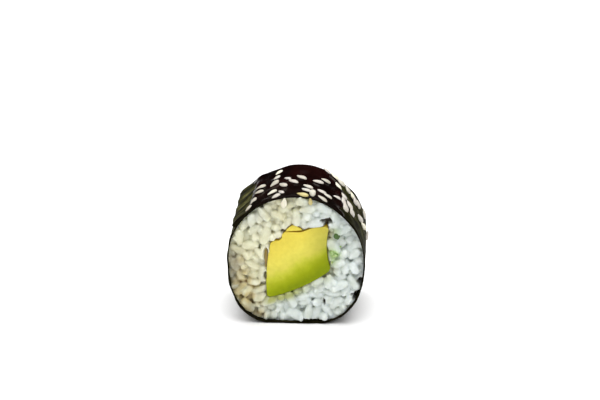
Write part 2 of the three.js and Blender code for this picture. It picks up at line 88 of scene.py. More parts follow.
GRAINS_PER_FACE = 185
GRAIN_RADIUS = 1.25
GRAIN_ARM = 1.35  # middle of a grain to the centre of its round end
GRAIN_SPREAD = (0.9, 1.08)
GRAIN_BLUNTNESS = 2.6
GRAIN_LEAN = 0.7
GRAIN_FLATNESS = (0.8, 1.04)
GRAIN_BEND = 0.22
GRAIN_TAPER = 0.25
GRAIN_LUMPS = (0.17, 0.07)  # broad and fine, as a share of its radius
GRAIN_MESH = (11, 14)  # rings of points, and points in each
PACKED_DEPTH = 5.2
PACKED_GAP = 0.8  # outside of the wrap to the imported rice
FACE_ROUGHNESS = 1.1
STICKINESS = 0.9
SETTLING_ROUNDS = 90
BED_DEPTHS = (2.3, 4.0)  # the bed of rice that the grains of a face are stuck to
GRAIN_SWELL = 1.06  # cooked grains press into each other by this much
WHOLE_GRAINS = 0.75  # the rest are broken
WHOLE_LENGTHS = (0.8, 1.0)
BROKEN_LENGTHS = (0.45, 0.7)
FRAGMENTS = 0.6  # bits of broken grain, as a share of the number of grains
FRAGMENT_SIZES = (0.5, 0.8)
RICE_VOXEL = 0.235
RICE_SMOOTHING = (3, 0.5)  # rounds and strength
RICE_ROUGHNESS = (0.05, 0.03)  # broad and fine
RICE_GAP = 0.03  # between the rice and the wrap
CORE_OVERLAP = 0.1  # of the core with the beds of both faces
NEAR_REACH = 2.5  # how far from the wrap or the filling the rice is drawn up against it
RICE_OVERHANG = (0.5, 0.05)  # how far proud rice leans over the avocado and over its tip
RICE_DRAWN = (0.4, 0.42)  # how far it is drawn up against the filling and the wrap
# Gaps between the grains of the front face, which are darkened with painted shade: x, z, width, height and
# depth.
PITS = [
    (17.2, -10.2, 1.5, 1.7, 2.8),
    (18.1, -5.6, 0.8, 1.1, 2.0),
    (8.8, 12.5, 2.2, 0.8, 2.4),
    (8.7, 11.3, 0.8, 1.5, 2.4),
    (8.2, -12.2, 0.6, 1.1, 2.0),
    (3.4, -18.0, 1.9, 1.0, 2.4),
    (6.6, -18.2, 2.4, 0.8, 2.4),
    (-3.7, 9.2, 0.7, 0.5, 1.0),
]
# Rice pressed against the wrap: the inset and further depth of each ring, then insets at its back.
RIM_RINGS = [(0.5, 0.0), (1.0, 0.0), (1.7, 0.5), (2.1, 1.6)]
RIM_BACK_INSETS, RIM_BACK_DEPTH = (2.1, 0.5), 3.7
RIM_COLUMNS = 300
RIM_DEPTHS = (0.25, 2.0)
RIM_DEEPEST = 3.6
# Soft spots on the cut faces, each with x, z, radius and strength: brown where sauce soaked in, whiter
# grains and painted shade as greyer grains under the right rim of the wrap, bluish, green from the
# filling, and painted shade along the rim of the wrap, where the rice is also glassy.
SOAKED_SPOTS = [
    (-16.5, -8.5, 5.5, 1.0),
    (-15.0, -11.0, 4.5, 1.0),
    (-16.5, 0.5, 5.5, 0.6),
    (-10.7, -17.0, 1.9, 1.6),
    (-3.0, 16.5, 6.5, 0.42),
    (-10.5, 11.0, 5.0, 0.22),
]
TONE_AND_SHADE_SPOTS = [
    (-9.0, 4.5, 3.0, 0.8),
    (-5.6, 9.6, 2.4, 0.9),
    (-14.8, -5.2, 1.8, 0.6),
    # Painted shade: greyer grains under the right rim of the wrap.
    (13.2, 12.4, 3.2, -1.4),
    (16.2, 9.0, 2.8, -1.4),
]
COOL_SPOTS = [(-11.0, 13.5, 4.5, 0.6)]
SHADE_AND_GLASSY_SPOTS = [
    (-17.6, 1.0, 2.2, 0.9),
    (-17.2, -1.8, 2.2, 0.9),
    (-17.6, -6.4, 2.4, 0.9),
    (-12.7, -14.6, 2.0, 0.8),
    (14.8, 12.2, 1.8, 0.3),
]
GREEN_SPOTS = [(10.4, 2.9, 1.5, 1.0), (11.3, 2.2, 1.1, 0.8), (10.3, 0.0, 1.2, 0.5), (11.4, 9.4, 1.2, 0.4)]
SPILL = (-9.5, 1.5)  # where along x the rice has pushed over the bottom edge of the wrap in front
SPILL_REACH = 0.35  # how far rice reaches over the cut edge of the wrap
SPILL_DROP = 0.17  # how much further it hangs within that stretch

SEED_LENGTH = 3.25
SEED_WIDTH = 1.88
SEED_HEIGHT = 1.02
SEED_SPREAD = (0.74, 1.05)
SEED_TAPER = 0.42
SEED_LIFT = 0.25
SEED_TIP = (3.0, 28.0)  # degrees that seeds are tipped over towards the front
SEED_SINK = 0.42  # how deep at most a tipped seed lies in the wrap
SEED_MARGIN = 0.78
SEED_SPACING = 1.9
SEED_MESH = (15, 16)
SEED_BED = 0.15  # from the middle of a seed on the face back to the rice behind it
SEED_SCATTER = (0.8, 0.4, 10.0)  # degrees round the wrap, millimetres along it and degrees of turn
# Loose streaks of seeds: degrees from the top and y where each starts and ends, how many, and turn.
SEED_STREAKS = [
    ((-16, 8), (-19, -1.2), 3, -40),
    ((-12, -4), (-12, -10), 2, 55),
    ((-19, -8.3), (-15, -12.2), 2, -18),
    ((-31, 0.5), (-31.5, -3.4), 2, -8),
    ((-35.5, -9.2), (-39, -12.2), 2, -32),
    ((-8, 1.2), (2, 1), 2, 38),
    ((-3, -1.8), (9, -5), 2, 30),
    ((8, -9), (5, -12), 2, 15),
    ((20, -6.4), (22, -11), 2, 15),
    ((26, -7.8), (34, -4.5), 2, 5),
    ((16, 1), (22, 4), 2, -10),
    ((23, 11.8), (37, 10.3), 3, 25),
    ((44, 9.3), (58, 6.7), 4, 35),
    ((35, 5.3), (41, 1.2), 2, 45),
    ((40, -4), (44, -6.8), 2, 62),
    ((48, -1.8), (52, -5.2), 2, 52),
    ((64, -0.5), (71, -0.5), 2, -5),
    ((70, 9), (86, 6), 2, 20),
]
YELLOW_SEED = 16  # the one on the wrap that is yellow, counted from the first
YELLOW_TONE = 2.0
STANDING_SEED = (13.5, -11.8, 44.0, 22.0)  # degrees from the top, y, degrees up and to the left
STANDING_TONE = 0.1
STANDING_HOLD = 0.38  # from its foot to its middle, as a share of its length
# Seeds on the front face: x, depth, z, degrees of lean, scale and tone.
SEEDS_ON_FACE = [(-3.1, -0.2, 17.9, 8, 0.98, 0.0), (4.2, -0.2, 18.4, -6, 0.66, 2.0)]

FRONT_DRAWS = 2024
BACK_DRAWS = 4051
SEED_DRAWS = 77

# Corners of the filling with the bulge of the side that follows each, seen from the front.
AVOCADO_SIDES = [
    ((-6.9, 6.3), 0.0),
    ((-3.9, 6.5), 0.0),
    ((-3.7, 9.0), -0.1),
    ((2.6, 9.2), 0.15),
    ((5.2, 10.6), 0.1),
    ((9.5, 10.8), -1.0),
    ((10.1, -2.1), 1.1),
    ((-8.0, -11.0), 0.7),
]
AVOCADO_CORNER_RADIUS = 0.7
AVOCADO_BACK = (0.92, -9.0, (-0.6, 0.5))  # scale, turn in degrees and shift at the back face
AVOCADO_RECESS = 0.2
FACE_RINGS = 16
SLIVER_SIDES = [((-2.9, 9.35), 0.25), ((-0.6, 11.1), 0.2), ((2.0, 9.8), 0.0)]
SLIVER_CORNER_RADIUS = 0.25
SLIVER_BACK = (0.92, -9.0, (-0.6, 0.6))
SLIVER_RECESS = 0.4
SLIVER_SAG = 1.16
CUT_EDGE_RADII = (0.14, 0.12)  # of the avocado and of its tip
CORE_CLEARANCE = 0.15  # round the filling, in the core of the rice

# Scraps of green avocado pressed against the rice: x, z, width, height and tone.
SCRAPS = [
    (11.6, 8.3, 1.9, 2.1, 0.0),
    (10.3, 3.1, 0.9, 1.3, 0.95),
    (11.2, 2.4, 1.1, 0.7, 1.0),
    (12.6, 5.2, 0.5, 0.5, 0.6),
    (10.3, 0.4, 0.6, 0.9, 0.9),
]
SCRAP_THICKNESS = 0.8
SCRAP_LUMPS = 0.3
# Thin brown strips of the avocado's browned outside, which show left of its cut face, and their tones.
# Their brown, darkest in the second strip, is partly painted shade in the gap beside the filling.
PEEL_STRIPS = [
    (
        [(-8.3, -2.2), (-8.5, -0.4), (-8.75, 1.2), (-8.7, 3.6), (-8.3, 4.3), (-7.75, 3.6), (-7.85, 0.4)],
        1.8,
    ),
    ([(-8.3, -5.4), (-8.8, -4.6), (-8.75, -3.3), (-8.4, -2.9), (-8.1, -3.6), (-8.05, -4.8)], 2.0),
]
PEEL_DEPTH = 3.0
PEEL_ROOM = 0.6  # from the cut face to the rice behind the strips

SAUCE_REACH = (-40.0, 43.0)  # degrees from the top, left and right, that the sauce covers
SAUCE_DEPTH = 0.17
SAUCE_COLUMNS, SAUCE_STATIONS = 260, 90
SAUCE_MARGIN = 24  # degrees that the film goes on, sunk into the wrap, beyond its reach
SAUCE_RAGGED = (9, 3)  # degrees by which its edge wanders, broad and fine
SAUCE_STREAKS = 0.35
SAUCE_SUNK = 0.34  # how deep the film lies in the wrap where there is no sauce
SAUCE_RIM = 0.16  # how far sauce climbs up round a seed
SAUCE_TUCK = 0.1  # how deep the film ends at the cut edges of the wrap
SAUCE_UNDERSIDE = 0.42

# ---- Small mathematics ----


def mix(a, b, share):
    return a + (b - a) * share


def smooth_step(low, high, value):
    share = np.clip((value - low) / (high - low), 0, 1)
    return share * share * (3 - 2 * share)


def seeded_draws(seed):
    """The same repeatable numbers between 0 and 1 as the solids use."""
    state = seed
    while True:
        state = (state * 16807) % 2147483647
        yield state / 2147483647


def perlin(points, scale, offset=0.0):
    """Smooth noise between about -1 and 1 at each point, with features of about scale millimetres."""
    return np.array([noise.noise(Vector(p) / scale + Vector((offset,) * 3)) for p in points])


def tree_of(points):
    """A tree that finds the nearest of some points, by their numbers."""
    tree = kdtree.KDTree(len(points))
    for number, point in enumerate(points):
        tree.insert(point, number)
    tree.balance()
    return tree


# ---- Section of the roll ----


def section_radius(angle):
    """Roll's centre to the outside of a plain wrap, at an angle from +X."""
    up = np.sin(angle)
    height = np.where(up > 0, CROWN_HEIGHT, SLUMPED_HEIGHT)
    roundness = np.where(up > 0, UPPER_ROUNDNESS, LOWER_ROUNDNESS)
    uneven = 1 + sum(share * np.sin(turns * angle + phase) for turns, share, phase in SECTION_WAVES)
    x = (np.abs(np.cos(angle)) / HALF_WIDTH) ** roundness
    z = (np.abs(up) / height) ** roundness
    return uneven / (x + z) ** (1 / roundness)


def section_point(angle, inset, y):
    """A point at an inset from the outside of the plain wrap, no lower than the seat allows."""
    radius = section_radius(angle) - inset
    z = np.maximum(radius * np.sin(angle), np.maximum(0, inset) - SEAT_DEPTH)
    return np.stack(np.broadcast_arrays(radius * np.cos(angle), y, z), axis=-1)


def wrap_rise(angle, y):
    """How far the outside of the wrap stands off the plain section."""
    degrees = np.degrees(angle) % 360
    broad = np.sin(11 * angle + 0.35 * y) * np.cos(0.55 * y + 2 * angle)
    fine = 0.6 * np.sin(17 * angle - 0.8 * y + 1.3)
    off_seat = 1 - smooth_step(48, 62, 90 - np.abs(degrees - 270))
    flap_end = FLAP_START + FLAP_LENGTH
    climb = FLAP_RISE * smooth_step(FLAP_START, FLAP_START + FLAP_CLIMB, degrees)
    curl = FLAP_LIFT * smooth_step(flap_end - FLAP_CURL, flap_end, degrees)
    height, lean, reach = CROWN_SWELL
    swell = height * np.exp(-(((90 - lean - degrees) / reach) ** 2)) * smooth_step(-2, HALF_LENGTH, y)
    flap = np.where(degrees < flap_end, climb + curl, 0)
    return WRAP_RELIEF * (broad + fine) * off_seat + swell + flap


def wrap_point(angle, y, lift=0.0):
    return section_point(angle, -wrap_rise(angle, y) - lift, y)


def wrap_edge(angle, side):
    """How far along the roll the slightly uneven cut edge of the wrap lies."""
    wave = np.sin(3 * angle + side) + 0.6 * np.sin(8 * angle + 2.2 * side)
    return side * HALF_LENGTH + EDGE_WAVE * wave


def wrap_grid(angles, stations):
    """Angle, share of the slice's length and y for each point of a grid over the wrap, and the points
    of the plain section there as a list."""
    angle, share = np.meshgrid(angles, np.linspace(0, 1, stations), indexing="ij")
    y = mix(wrap_edge(angle, -1), wrap_edge(angle, 1), share)
    return angle, share, y, section_point(angle, 0.0, y).reshape(-1, 3)


# ---- Outlines of the filling ----


def rounded_outline(sides, corner_radius, finest):
    """Bulging sides with rounded corners, as x, z points about finest millimetres apart."""
    points = []
    for (corner, bulge), (following, _) in zip(sides, sides[1:] + sides[:1]):
        start, end = np.array(corner), np.array(following)
        length = np.linalg.norm(end - start)
        along = (end - start) / length
        outwards = np.array([-along[1], along[0]])
        trim = corner_radius / length
        steps = max(2, round(length / finest))
        for share in np.linspace(trim, 1 - trim, steps + 1):
            rise = 4 * bulge * share * (1 - share)
            points.append(mix(start, end, share) + rise * outwards)
    return np.array(points)


def outline_at(outline, back, y):
    """The outline at y along the roll, moved, turned and scaled by its share of the way back."""
    share = 0.5 + y / ROLL_LENGTH
    scale, turn, shift = back
    angle = math.radians(turn) * share
    rotation = np.array([[math.cos(angle), -math.sin(angle)], [math.sin(angle), math.cos(angle)]])
    return outline @ rotation.T * mix(1, scale, share) + np.array(shift) * share


def ring_at(outline, y):
    """x, z points of an outline as points at y along the roll."""
    return np.stack([outline[:, 0], np.full(len(outline), y), outline[:, 1]], axis=1)


def grown(outline, amount):
    along = np.roll(outline, -1, axis=0) - np.roll(outline, 1, axis=0)
    along /= np.linalg.norm(along, axis=1)[:, None]
    return outline + amount * np.stack([-along[:, 1], along[:, 0]], axis=1)


def corners_cut(outline, rounds):
    """A smoother outline with twice as many points after each round."""
    for _ in range(rounds):
        after = np.roll(outline, -1, axis=0)
        outline = np.stack([mix(outline, after, 0.25), mix(outline, after, 0.75)], axis=1)
        outline = outline.reshape(-1, 2)
    return outline


def away_from(outline, points):
    """Signed distance of x, z points from a closed outline, below 0 inside, and the way out."""
    a, b = np.roll(outline, 1, axis=0), outline
    edge = b - a
    offset = points[:, None] - a[None]
    along = (offset * edge).sum(-1) / (edge * edge).sum(-1)
    gap = offset - np.clip(along, 0, 1)[..., None] * edge
    distance = np.linalg.norm(gap, axis=-1)
    nearest = distance.argmin(1)
    rows = np.arange(len(points))
    away = gap[rows, nearest] / distance[rows, nearest][:, None]
    x, z = points[:, None, 0], points[:, None, 1]
    crosses = (a[:, 1] > z) != (b[:, 1] > z)
    with np.errstate(divide="ignore", invalid="ignore"):
        left = x < a[:, 0] + (z - a[:, 1]) * edge[:, 0] / edge[:, 1]
    inside = (crosses & left).sum(1) % 2 == 1
    sign = np.where(inside, -1.0, 1.0)
    return distance[rows, nearest] * sign, away * sign[:, None]


FILLINGS = [
    (rounded_outline(AVOCADO_SIDES, AVOCADO_CORNER_RADIUS, 2), AVOCADO_BACK),
    (rounded_outline(SLIVER_SIDES, SLIVER_CORNER_RADIUS, 2), SLIVER_BACK),
]

# ---- Grains packed behind a cut face ----


def beads_of(centres, axes):
    return np.stack([centres + k * GRAIN_ARM * axes for k in (-1, 0, 1)], axis=1)


def pushes_into_place(beads, radius, proud, outlines):
    """How far each bead has to move to lie between wrap, filling, cut face and packed depth."""
    push = np.zeros_like(beads)
    x, depth, z = beads.T
    out = np.hypot(x, z)
    over = np.maximum(0, out - (section_radius(np.arctan2(z, x)) - PACKED_GAP - radius))
    push[:, 0] -= x / out * over
    push[:, 2] -= z / out * over
    push[:, 2] += np.maximum(0, PACKED_GAP + radius - SEAT_DEPTH - z)
    for outline in outlines:
        distance, away = away_from(outline, beads[:, [0, 2]])
        push[:, [0, 2]] += away * np.maximum(0, radius - distance)[:, None]
    push[:, 1] += np.maximum(0, radius - proud - depth)
    push[:, 1] -= np.maximum(0, depth - PACKED_DEPTH + radius)
    return push


def packed_grains(outlines, seed):
    """Centres, axes and radii of the grains. The middle number of a centre is its depth."""
    draws = seeded_draws(seed)
    grains = []
    while len(grains) < GRAINS_PER_FACE:
        x = mix(-HALF_WIDTH, HALF_WIDTH, next(draws))
        z = mix(-SEAT_DEPTH, CROWN_HEIGHT, next(draws))
        depth = mix(0, PACKED_DEPTH, next(draws))
        lean = [mix(-reach, reach, next(draws)) for reach in (1, GRAIN_LEAN, 1)]
        radius = GRAIN_RADIUS * mix(*GRAIN_SPREAD, next(draws))
        proud = FACE_ROUGHNESS * (next(draws) - 0.5)
        spot = np.array([[x, z]])
        outside_wrap = math.hypot(x, z) > section_radius(math.atan2(z, x)) - radius
        if not outside_wrap and all(away_from(o, spot)[0][0] >= 0 for o in outlines):
            grains.append((x, depth, z, *lean, radius, proud))
    grains = np.array(grains)
    centres, axes = grains[:, :3], grains[:, 3:6]
    axes = axes / np.linalg.norm(axes, axis=1)[:, None]
    radii, proud = grains[:, 6], grains[:, 7]
    owner = np.repeat(np.arange(len(grains)), 3)
    reach = (radii[owner][:, None] + radii[owner][None]) * STICKINESS
    reach[owner[:, None] == owner[None]] = 0
    for _ in range(SETTLING_ROUNDS):
        beads = beads_of(centres, axes).reshape(-1, 3)
        push = pushes_into_place(beads, radii[owner], proud[owner], outlines)
        between = beads[:, None] - beads[None]
        distance = np.maximum(np.sqrt((between**2).sum(-1)), 1e-9)
        share = 0.5 * np.maximum(0, reach - distance) / distance
        push = (push + (between * share[..., None]).sum(1)).reshape(-1, 3, 3)
        axes = axes + (push[:, 2] - push[:, 0]) / (4 * GRAIN_ARM)
        axes = axes / np.linalg.norm(axes, axis=1)[:, None]
        centres = centres + push.mean(1)
    return centres, axes, radii


# ---- Meshes ----


def ball_faces(rings, around):
    """Faces of a ball with a pole at each end and rings of points between them."""
    faces = [(0, 1 + (i + 1) % around, 1 + i) for i in range(around)]
    for ring in range(rings - 1):
        here = 1 + ring * around
        for i in range(around):
            j = (i + 1) % around
            faces.append((here + i, here + j, here + around + j, here + around + i))
    last = 1 + (rings - 1) * around
    faces += [(last + i, last + (i + 1) % around, last + around) for i in range(around)]
    return faces


def ball_points(rings, around):
    """Points of a unit ball whose poles are on Y, in the order of ball_faces."""
    points = [(0, -1, 0)]
    for ring in range(1, rings + 1):
        height = -math.cos(math.pi * ring / (rings + 1))
        width = math.sqrt(1 - height * height)
        for i in range(around):
            turn = 2 * math.pi * i / around
            points.append((width * math.cos(turn), height, width * math.sin(turn)))
    return np.array(points + [(0, 1, 0)])


def joined(shapes):
    """Points and faces of several shapes as one mesh."""
    points, faces, count = [], [], 0
    for shape_points, shape_faces in shapes:
        points.append(shape_points)
        faces += [tuple(count + i for i in face) for face in shape_faces]
        count += len(shape_points)
    return np.concatenate(points), faces


def linked(name, data):
    """A new object in the scene."""
    made = bpy.data.objects.new(name, data)
    bpy.context.scene.collection.objects.link(made)
    return made


def evaluated(made):
    """The object as its modifiers shape it."""
    return made.evaluated_get(bpy.context.evaluated_depsgraph_get())


def bare_object(name, points, faces):
    mesh = bpy.data.meshes.new(name)
    mesh.from_pydata((np.asarray(points) * MM).tolist(), [], faces)
    mesh.validate()
    return linked(name, mesh)


def piece(name, points, faces, material, replaced=(), values=None):
    """A finished piece that rides on the roll, placed by points in the frame of the section. values
    are numbers or vectors for each point. Points past the box of the solids are moved onto it, which
    takes 0.9 mm off the top of the standing seed and at most 0.3 mm off anything else."""
    placed = np.clip(points + [0, 0, SEAT_DEPTH], LOWEST, HIGHEST)
    made = bare_object(name, placed, faces)
    mesh = made.data
    mesh.materials.append(material)
    mesh.shade_smooth()
    for key, numbers in (values or {}).items():
        numbers = np.asarray(numbers, dtype=np.float32)
        if numbers.ndim == 1:
            mesh.attributes.new(key, "FLOAT", "POINT").data.foreach_set("value", numbers)
        else:
            vectors = mesh.attributes.new(key, "FLOAT_VECTOR", "POINT")
            vectors.data.foreach_set("vector", numbers.ravel())
    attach(made, "root")
    if replaced:
        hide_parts(*replaced)
    return made


def fused(points, faces, voxel, rounds, softness):
    """One soft skin round many shapes that touch: points in millimetres, and four-sided faces."""
    rough = bare_object("rough_shapes", points, faces)
    skin = rough.modifiers.new("skin", "REMESH")
    skin.mode = "VOXEL"
    skin.voxel_size = voxel * MM
    soft = rough.modifiers.new("soft", "SMOOTH")
    soft.factor = softness
    soft.iterations = rounds
    shaped = evaluated(rough)
    mesh = shaped.to_mesh()
    found = np.empty(len(mesh.vertices) * 3, np.float32)
    mesh.vertices.foreach_get("co", found)
    corners = np.empty(len(mesh.loops), np.int32)
    mesh.loops.foreach_get("vertex_index", corners)
    shaped.to_mesh_clear()
    old = rough.data
    bpy.data.objects.remove(rough)
    bpy.data.meshes.remove(old)
    return largest_body(found.reshape(-1, 3).astype(float) / MM, corners.reshape(-1, 4))


def largest_body(points, quads):
    """Leaves out the skins of sealed hollows and loose scraps."""
    label = np.arange(len(points))
    edges = np.concatenate([quads[:, [0, 1]], quads[:, [1, 2]], quads[:, [2, 3]]])
    while True:
        before = label.copy()
        lowest = np.minimum(label[edges[:, 0]], label[edges[:, 1]])
        np.minimum.at(label, edges[:, 0], lowest)
        np.minimum.at(label, edges[:, 1], lowest)
        label = label[label]
        if (label == before).all():
            break
    names, counts = np.unique(label, return_counts=True)
    kept = label == names[counts.argmax()]
    fresh = np.cumsum(kept) - 1
    return points[kept], fresh[quads[kept[quads[:, 0]]]]


def creases(points, quads, rounds):
    """How hollow the skin is at each point, about 1 in a deep crease and -1 on a sharp ridge."""
    edges = np.concatenate([quads[:, [i, (i + 1) % 4]] for i in range(4)])
    degree = np.bincount(edges.ravel(), minlength=len(points)).astype(float)

    def spread(values):
        total = np.zeros_like(values)
        for axis in range(values.shape[1]):
            for here, there in ((0, 1), (1, 0)):
                neighbours = values[edges[:, there], axis]
                total[:, axis] += np.bincount(edges[:, here], neighbours, len(points))
        return total / degree[:, None]

    a, b, c, d = (points[quads[:, corner]] for corner in range(4))
    across = np.cross(c - a, d - b)
    normals = np.zeros_like(points)
    for corner in range(4):
        for axis in range(3):
            normals[:, axis] += np.bincount(quads[:, corner], across[:, axis], len(points))
    normals /= np.linalg.norm(normals, axis=1)[:, None] + 1e-12
    hollow = ((spread(points) - points) * normals).sum(1)[:, None]
    for _ in range(rounds):
        hollow = spread(hollow)
    return hollow[:, 0], normals


# ---- Rice ----


def grain_shape(centre, axis, radius, arm, side, draws):
    """One cooked grain: blunt, a little bent, flattened and lumpy."""
    points = ball_points(*GRAIN_MESH)
    width = np.hypot(points[:, 0], points[:, 2])
    blunt = (1 - np.minimum(np.abs(points[:, 1]), 1) ** GRAIN_BLUNTNESS) ** (1 / GRAIN_BLUNTNESS)
    points[:, [0, 2]] *= (blunt / np.maximum(width, 0.1))[:, None]
    flat = mix(*GRAIN_FLATNESS, next(draws))
    bend = mix(-GRAIN_BEND, GRAIN_BEND, next(draws))
    thin_end = mix(-GRAIN_TAPER, GRAIN_TAPER, next(draws))
    phase = mix(0, 6.28, next(draws))
    along = points[:, 1]
    broad, fine = GRAIN_LUMPS
    lump = 1 + broad * perlin(points * [1, 1.7, 1], 0.75, phase * 7)
    lump = (lump + fine * perlin(points, 0.33, phase * 5)) * (1 + thin_end * along)
    x = points[:, 0] * radius * lump + bend * radius * (along**2 - 0.4)
    z = points[:, 2] * radius * lump * flat
    shaped = np.stack([x, along * (arm + radius), z], axis=1)
    direction = Vector((axis[0], -side * axis[1], axis[2]))
    turn = Vector((0, 1, 0)).rotation_difference(direction).to_matrix()
    spin = np.array(turn) @ rotation_about_y(phase)
    place = np.array([centre[0], side * (HALF_LENGTH - centre[1]), centre[2]])
    return shaped @ spin.T + place


def grains_and_fragments(centres, axes, radii, side, draws):
    """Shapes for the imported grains, some of them broken, and for bits stuck between them."""
    shapes = []
    for centre, axis, radius in zip(centres, axes, radii):
        whole = next(draws) < WHOLE_GRAINS
        arm = GRAIN_ARM * mix(*(WHOLE_LENGTHS if whole else BROKEN_LENGTHS), next(draws))
        shapes.append(grain_shape(centre, axis, radius * GRAIN_SWELL, arm, side, draws))
        if next(draws) > FRAGMENTS:
            continue
        size = radius * mix(*FRAGMENT_SIZES, next(draws))
        off = np.array([mix(-1, 1, next(draws)) for _ in range(3)])
        end = centre + axis * GRAIN_ARM * mix(-1.3, 1.3, next(draws)) + off * radius * 0.8
        end[1] = max(end[1], size - 0.35)
        lean = np.array([mix(-1, 1, next(draws)) for _ in range(3)])
        lean /= np.linalg.norm(lean)
        shapes.append(grain_shape(end, lean, size, size * mix(0.1, 0.9, next(draws)), side, draws))
    return shapes


def rotation_about_y(angle):
    c, s = math.cos(angle), math.sin(angle)
    return np.array([[c, 0, s], [0, 1, 0], [-s, 0, c]])


def prism_between(y_low, y_high, inset, columns):
    """A closed block of the roll's section between two places along it."""
    angles = np.linspace(0, 2 * math.pi, columns, endpoint=False)
    loops = [section_point(angles, inset, y) for y in (y_low, y_high)]
    middle = [[0, y_low, 0], [0, y_high, 0]]
    points = np.concatenate([*loops, middle])
    faces = []
    for i in range(columns):
        j = (i + 1) % columns
        faces.append((i, columns + i, columns + j, j))
        faces.append((2 * columns, i, j))
        faces.append((2 * columns + 1, columns + j, columns + i))
    return points, faces


def pressed_rim(side):
    """Rice pressed flat against the wrap, which fills the gaps between the outermost grains."""
    angles = np.linspace(0, 2 * math.pi, RIM_COLUMNS, endpoint=False)
    x, z = np.cos(angles), np.sin(angles)
    places = np.stack([x, np.full(RIM_COLUMNS, side), z], axis=1) * HALF_WIDTH
    depth = 1.0 + 0.9 * perlin(places, 3.0, 41.0) + 0.5 * perlin(places, 1.1, 43.0)
    depth = np.clip(depth, *RIM_DEPTHS)
    if side < 0:
        for *spot, _ in PITS:
            depth = mix(depth, 2.4, 1 - smooth_step(0.8, 1.6, off_spot(places, *spot)))
    rings = [(inset, np.minimum(depth + lower, RIM_DEEPEST)) for inset, lower in RIM_RINGS]
    rings += [(inset, RIM_BACK_DEPTH) for inset in RIM_BACK_INSETS]
    loops = [section_point(angles, inset, side * (HALF_LENGTH - behind)) for inset, behind in rings]
    ring = np.stack(loops, axis=1)
    faces = tube(ring)
    return ring.reshape(-1, 3), (faces if side > 0 else faces[:, ::-1]).tolist()


def rice_face(name, side, seed, material):
    """The rice behind a cut face: its grains, stuck to each other and to a bed of rice."""
    outlines = [outline_at(outline, back, side * HALF_LENGTH) for outline, back in FILLINGS]
    centres, axes, radii = packed_grains(outlines, seed)
    draws = seeded_draws(seed + 1)
    ends = sorted(side * (HALF_LENGTH - depth) for depth in BED_DEPTHS)
    bed = prism_between(*ends, NORI_THICKNESS, SECTION_COLUMNS)
    faces = ball_faces(*GRAIN_MESH)
    grains = grains_and_fragments(centres, axes, radii, side, draws)
    shapes = [(grain, faces) for grain in grains] + [bed, pressed_rim(side)]
    points, quads = fused(*joined(shapes), RICE_VOXEL, *RICE_SMOOTHING)
    tones = np.array([next(draws) for _ in centres])
    tone = tones[nearest_grain(points, centres, axes, side)]
    hollow, normals = creases(points, quads, 2)
    broad, fine = RICE_ROUGHNESS
    roughness = broad * perlin(points, 0.45) + fine * perlin(points, 0.22, 3.0)
    points = points + normals * roughness[:, None]
    points = kept_in_room(points, side)
    pit = np.zeros(len(points))
    green = np.zeros(len(points))
    if side < 0:
        points, pit = with_pits(points)
        points = behind_seeds(points)
        green = np.clip(spots(points, GREEN_SPOTS), 0, 1)
    x, _, z = points.T
    values = {
        "tone": np.clip(tone + spots(points, TONE_AND_SHADE_SPOTS), -0.6, 1.6),
        "crease": hollow,
        "soak": soaked(points),
        "pit": pit,
        "dim": np.clip(spots(points, SHADE_AND_GLASSY_SPOTS), 0, 1),
        "cool": np.clip(smooth_step(-10, 3, x - 0.35 * z) + spots(points, COOL_SPOTS), 0, 1),
        "smear": smeared(points, side),
        "green": green,
    }
    piece(name, points, quads.tolist(), material, ["rice"], values)


def with_pits(points):
    """Sinks the gaps between the grains of the front face, and says how deep each point lies."""
    deep = np.zeros(len(points))
    sunk = np.zeros(len(points))
    ragged = 0.5 * perlin(points, 0.9, 13.0)
    near_face = 1 - smooth_step(3.0, 4.2, points[:, 1] + HALF_LENGTH)
    for x, z, width, height, depth in PITS:
        off = off_spot(points, x, z, width, height) + ragged
        here = (1 - smooth_step(0.45, 1.05, off)) * near_face
        deep = np.maximum(deep, here)
        sunk = np.maximum(sunk, here * depth)
    return points + np.outer(sunk, [0, 1, 0]), deep


def smeared(points, side):
    """How much green of the filling has rubbed off on the rice beside it, most at its lower corner."""
    outline, back = FILLINGS[0]
    distance, away = away_from(outline_at(outline, back, side * HALF_LENGTH), points[:, [0, 2]])
    towards_skin = np.clip(away @ [0.6, -0.8] * 1.6, 0, 1)
    patchy = np.clip(1.1 + 0.8 * perlin(points, 2.2, 31.0), 0, 1)
    weaker = mix(1.0, 0.4, smooth_step(-1, 5, points[:, 0]))
    return (1 - smooth_step(0.9, 3.3, distance)) * towards_skin * patchy * weaker


def off_spot(points, x, z, width, height):
    """How far points are from a spot on a cut face, 1 at its edge."""
    return np.hypot((points[:, 0] - x) / width, (points[:, 2] - z) / height)


def spots(points, places):
    """Soft round spots, each given by x, z, radius and strength, added together at each point."""
    x, _, z = points.T
    return sum(
        strength * np.exp(-((x - spot_x) ** 2 + (z - spot_z) ** 2) / radius**2)
        for spot_x, spot_z, radius, strength in places
    )


def behind_seeds(points):
    """Presses the rice back where a seed lies on the front face."""
    for x, depth, z, _, scale, _ in SEEDS_ON_FACE:
        off = off_spot(points, x, z, 0.62 * SEED_WIDTH * scale, 0.62 * SEED_LENGTH * scale)
        pressed = 1 - smooth_step(0.7, 1.25, off)
        behind = depth + SEED_BED - HALF_LENGTH
        points[:, 1] += np.maximum(0, behind - points[:, 1]) * pressed
    return points


def nearest_grain(points, centres, axes, side):
    """The number of the grain that each point belongs to."""
    spine = (-1, -0.5, 0, 0.5, 1)
    places = np.concatenate([[c + k * GRAIN_ARM * axis for k in spine] for c, axis in zip(centres, axes)])
    places[:, 1] = side * (HALF_LENGTH - places[:, 1])
    tree = tree_of(places)
    return np.array([tree.find(p)[1] // len(spine) for p in points])


def soaked(points):
    """How much sauce has soaked into the rice: most at the lower left, where it ran down."""
    patchy = 0.75 + 0.9 * perlin(points, 1.7, 21.0)
    return np.clip(spots(points, SOAKED_SPOTS) * patchy, 0, 1)


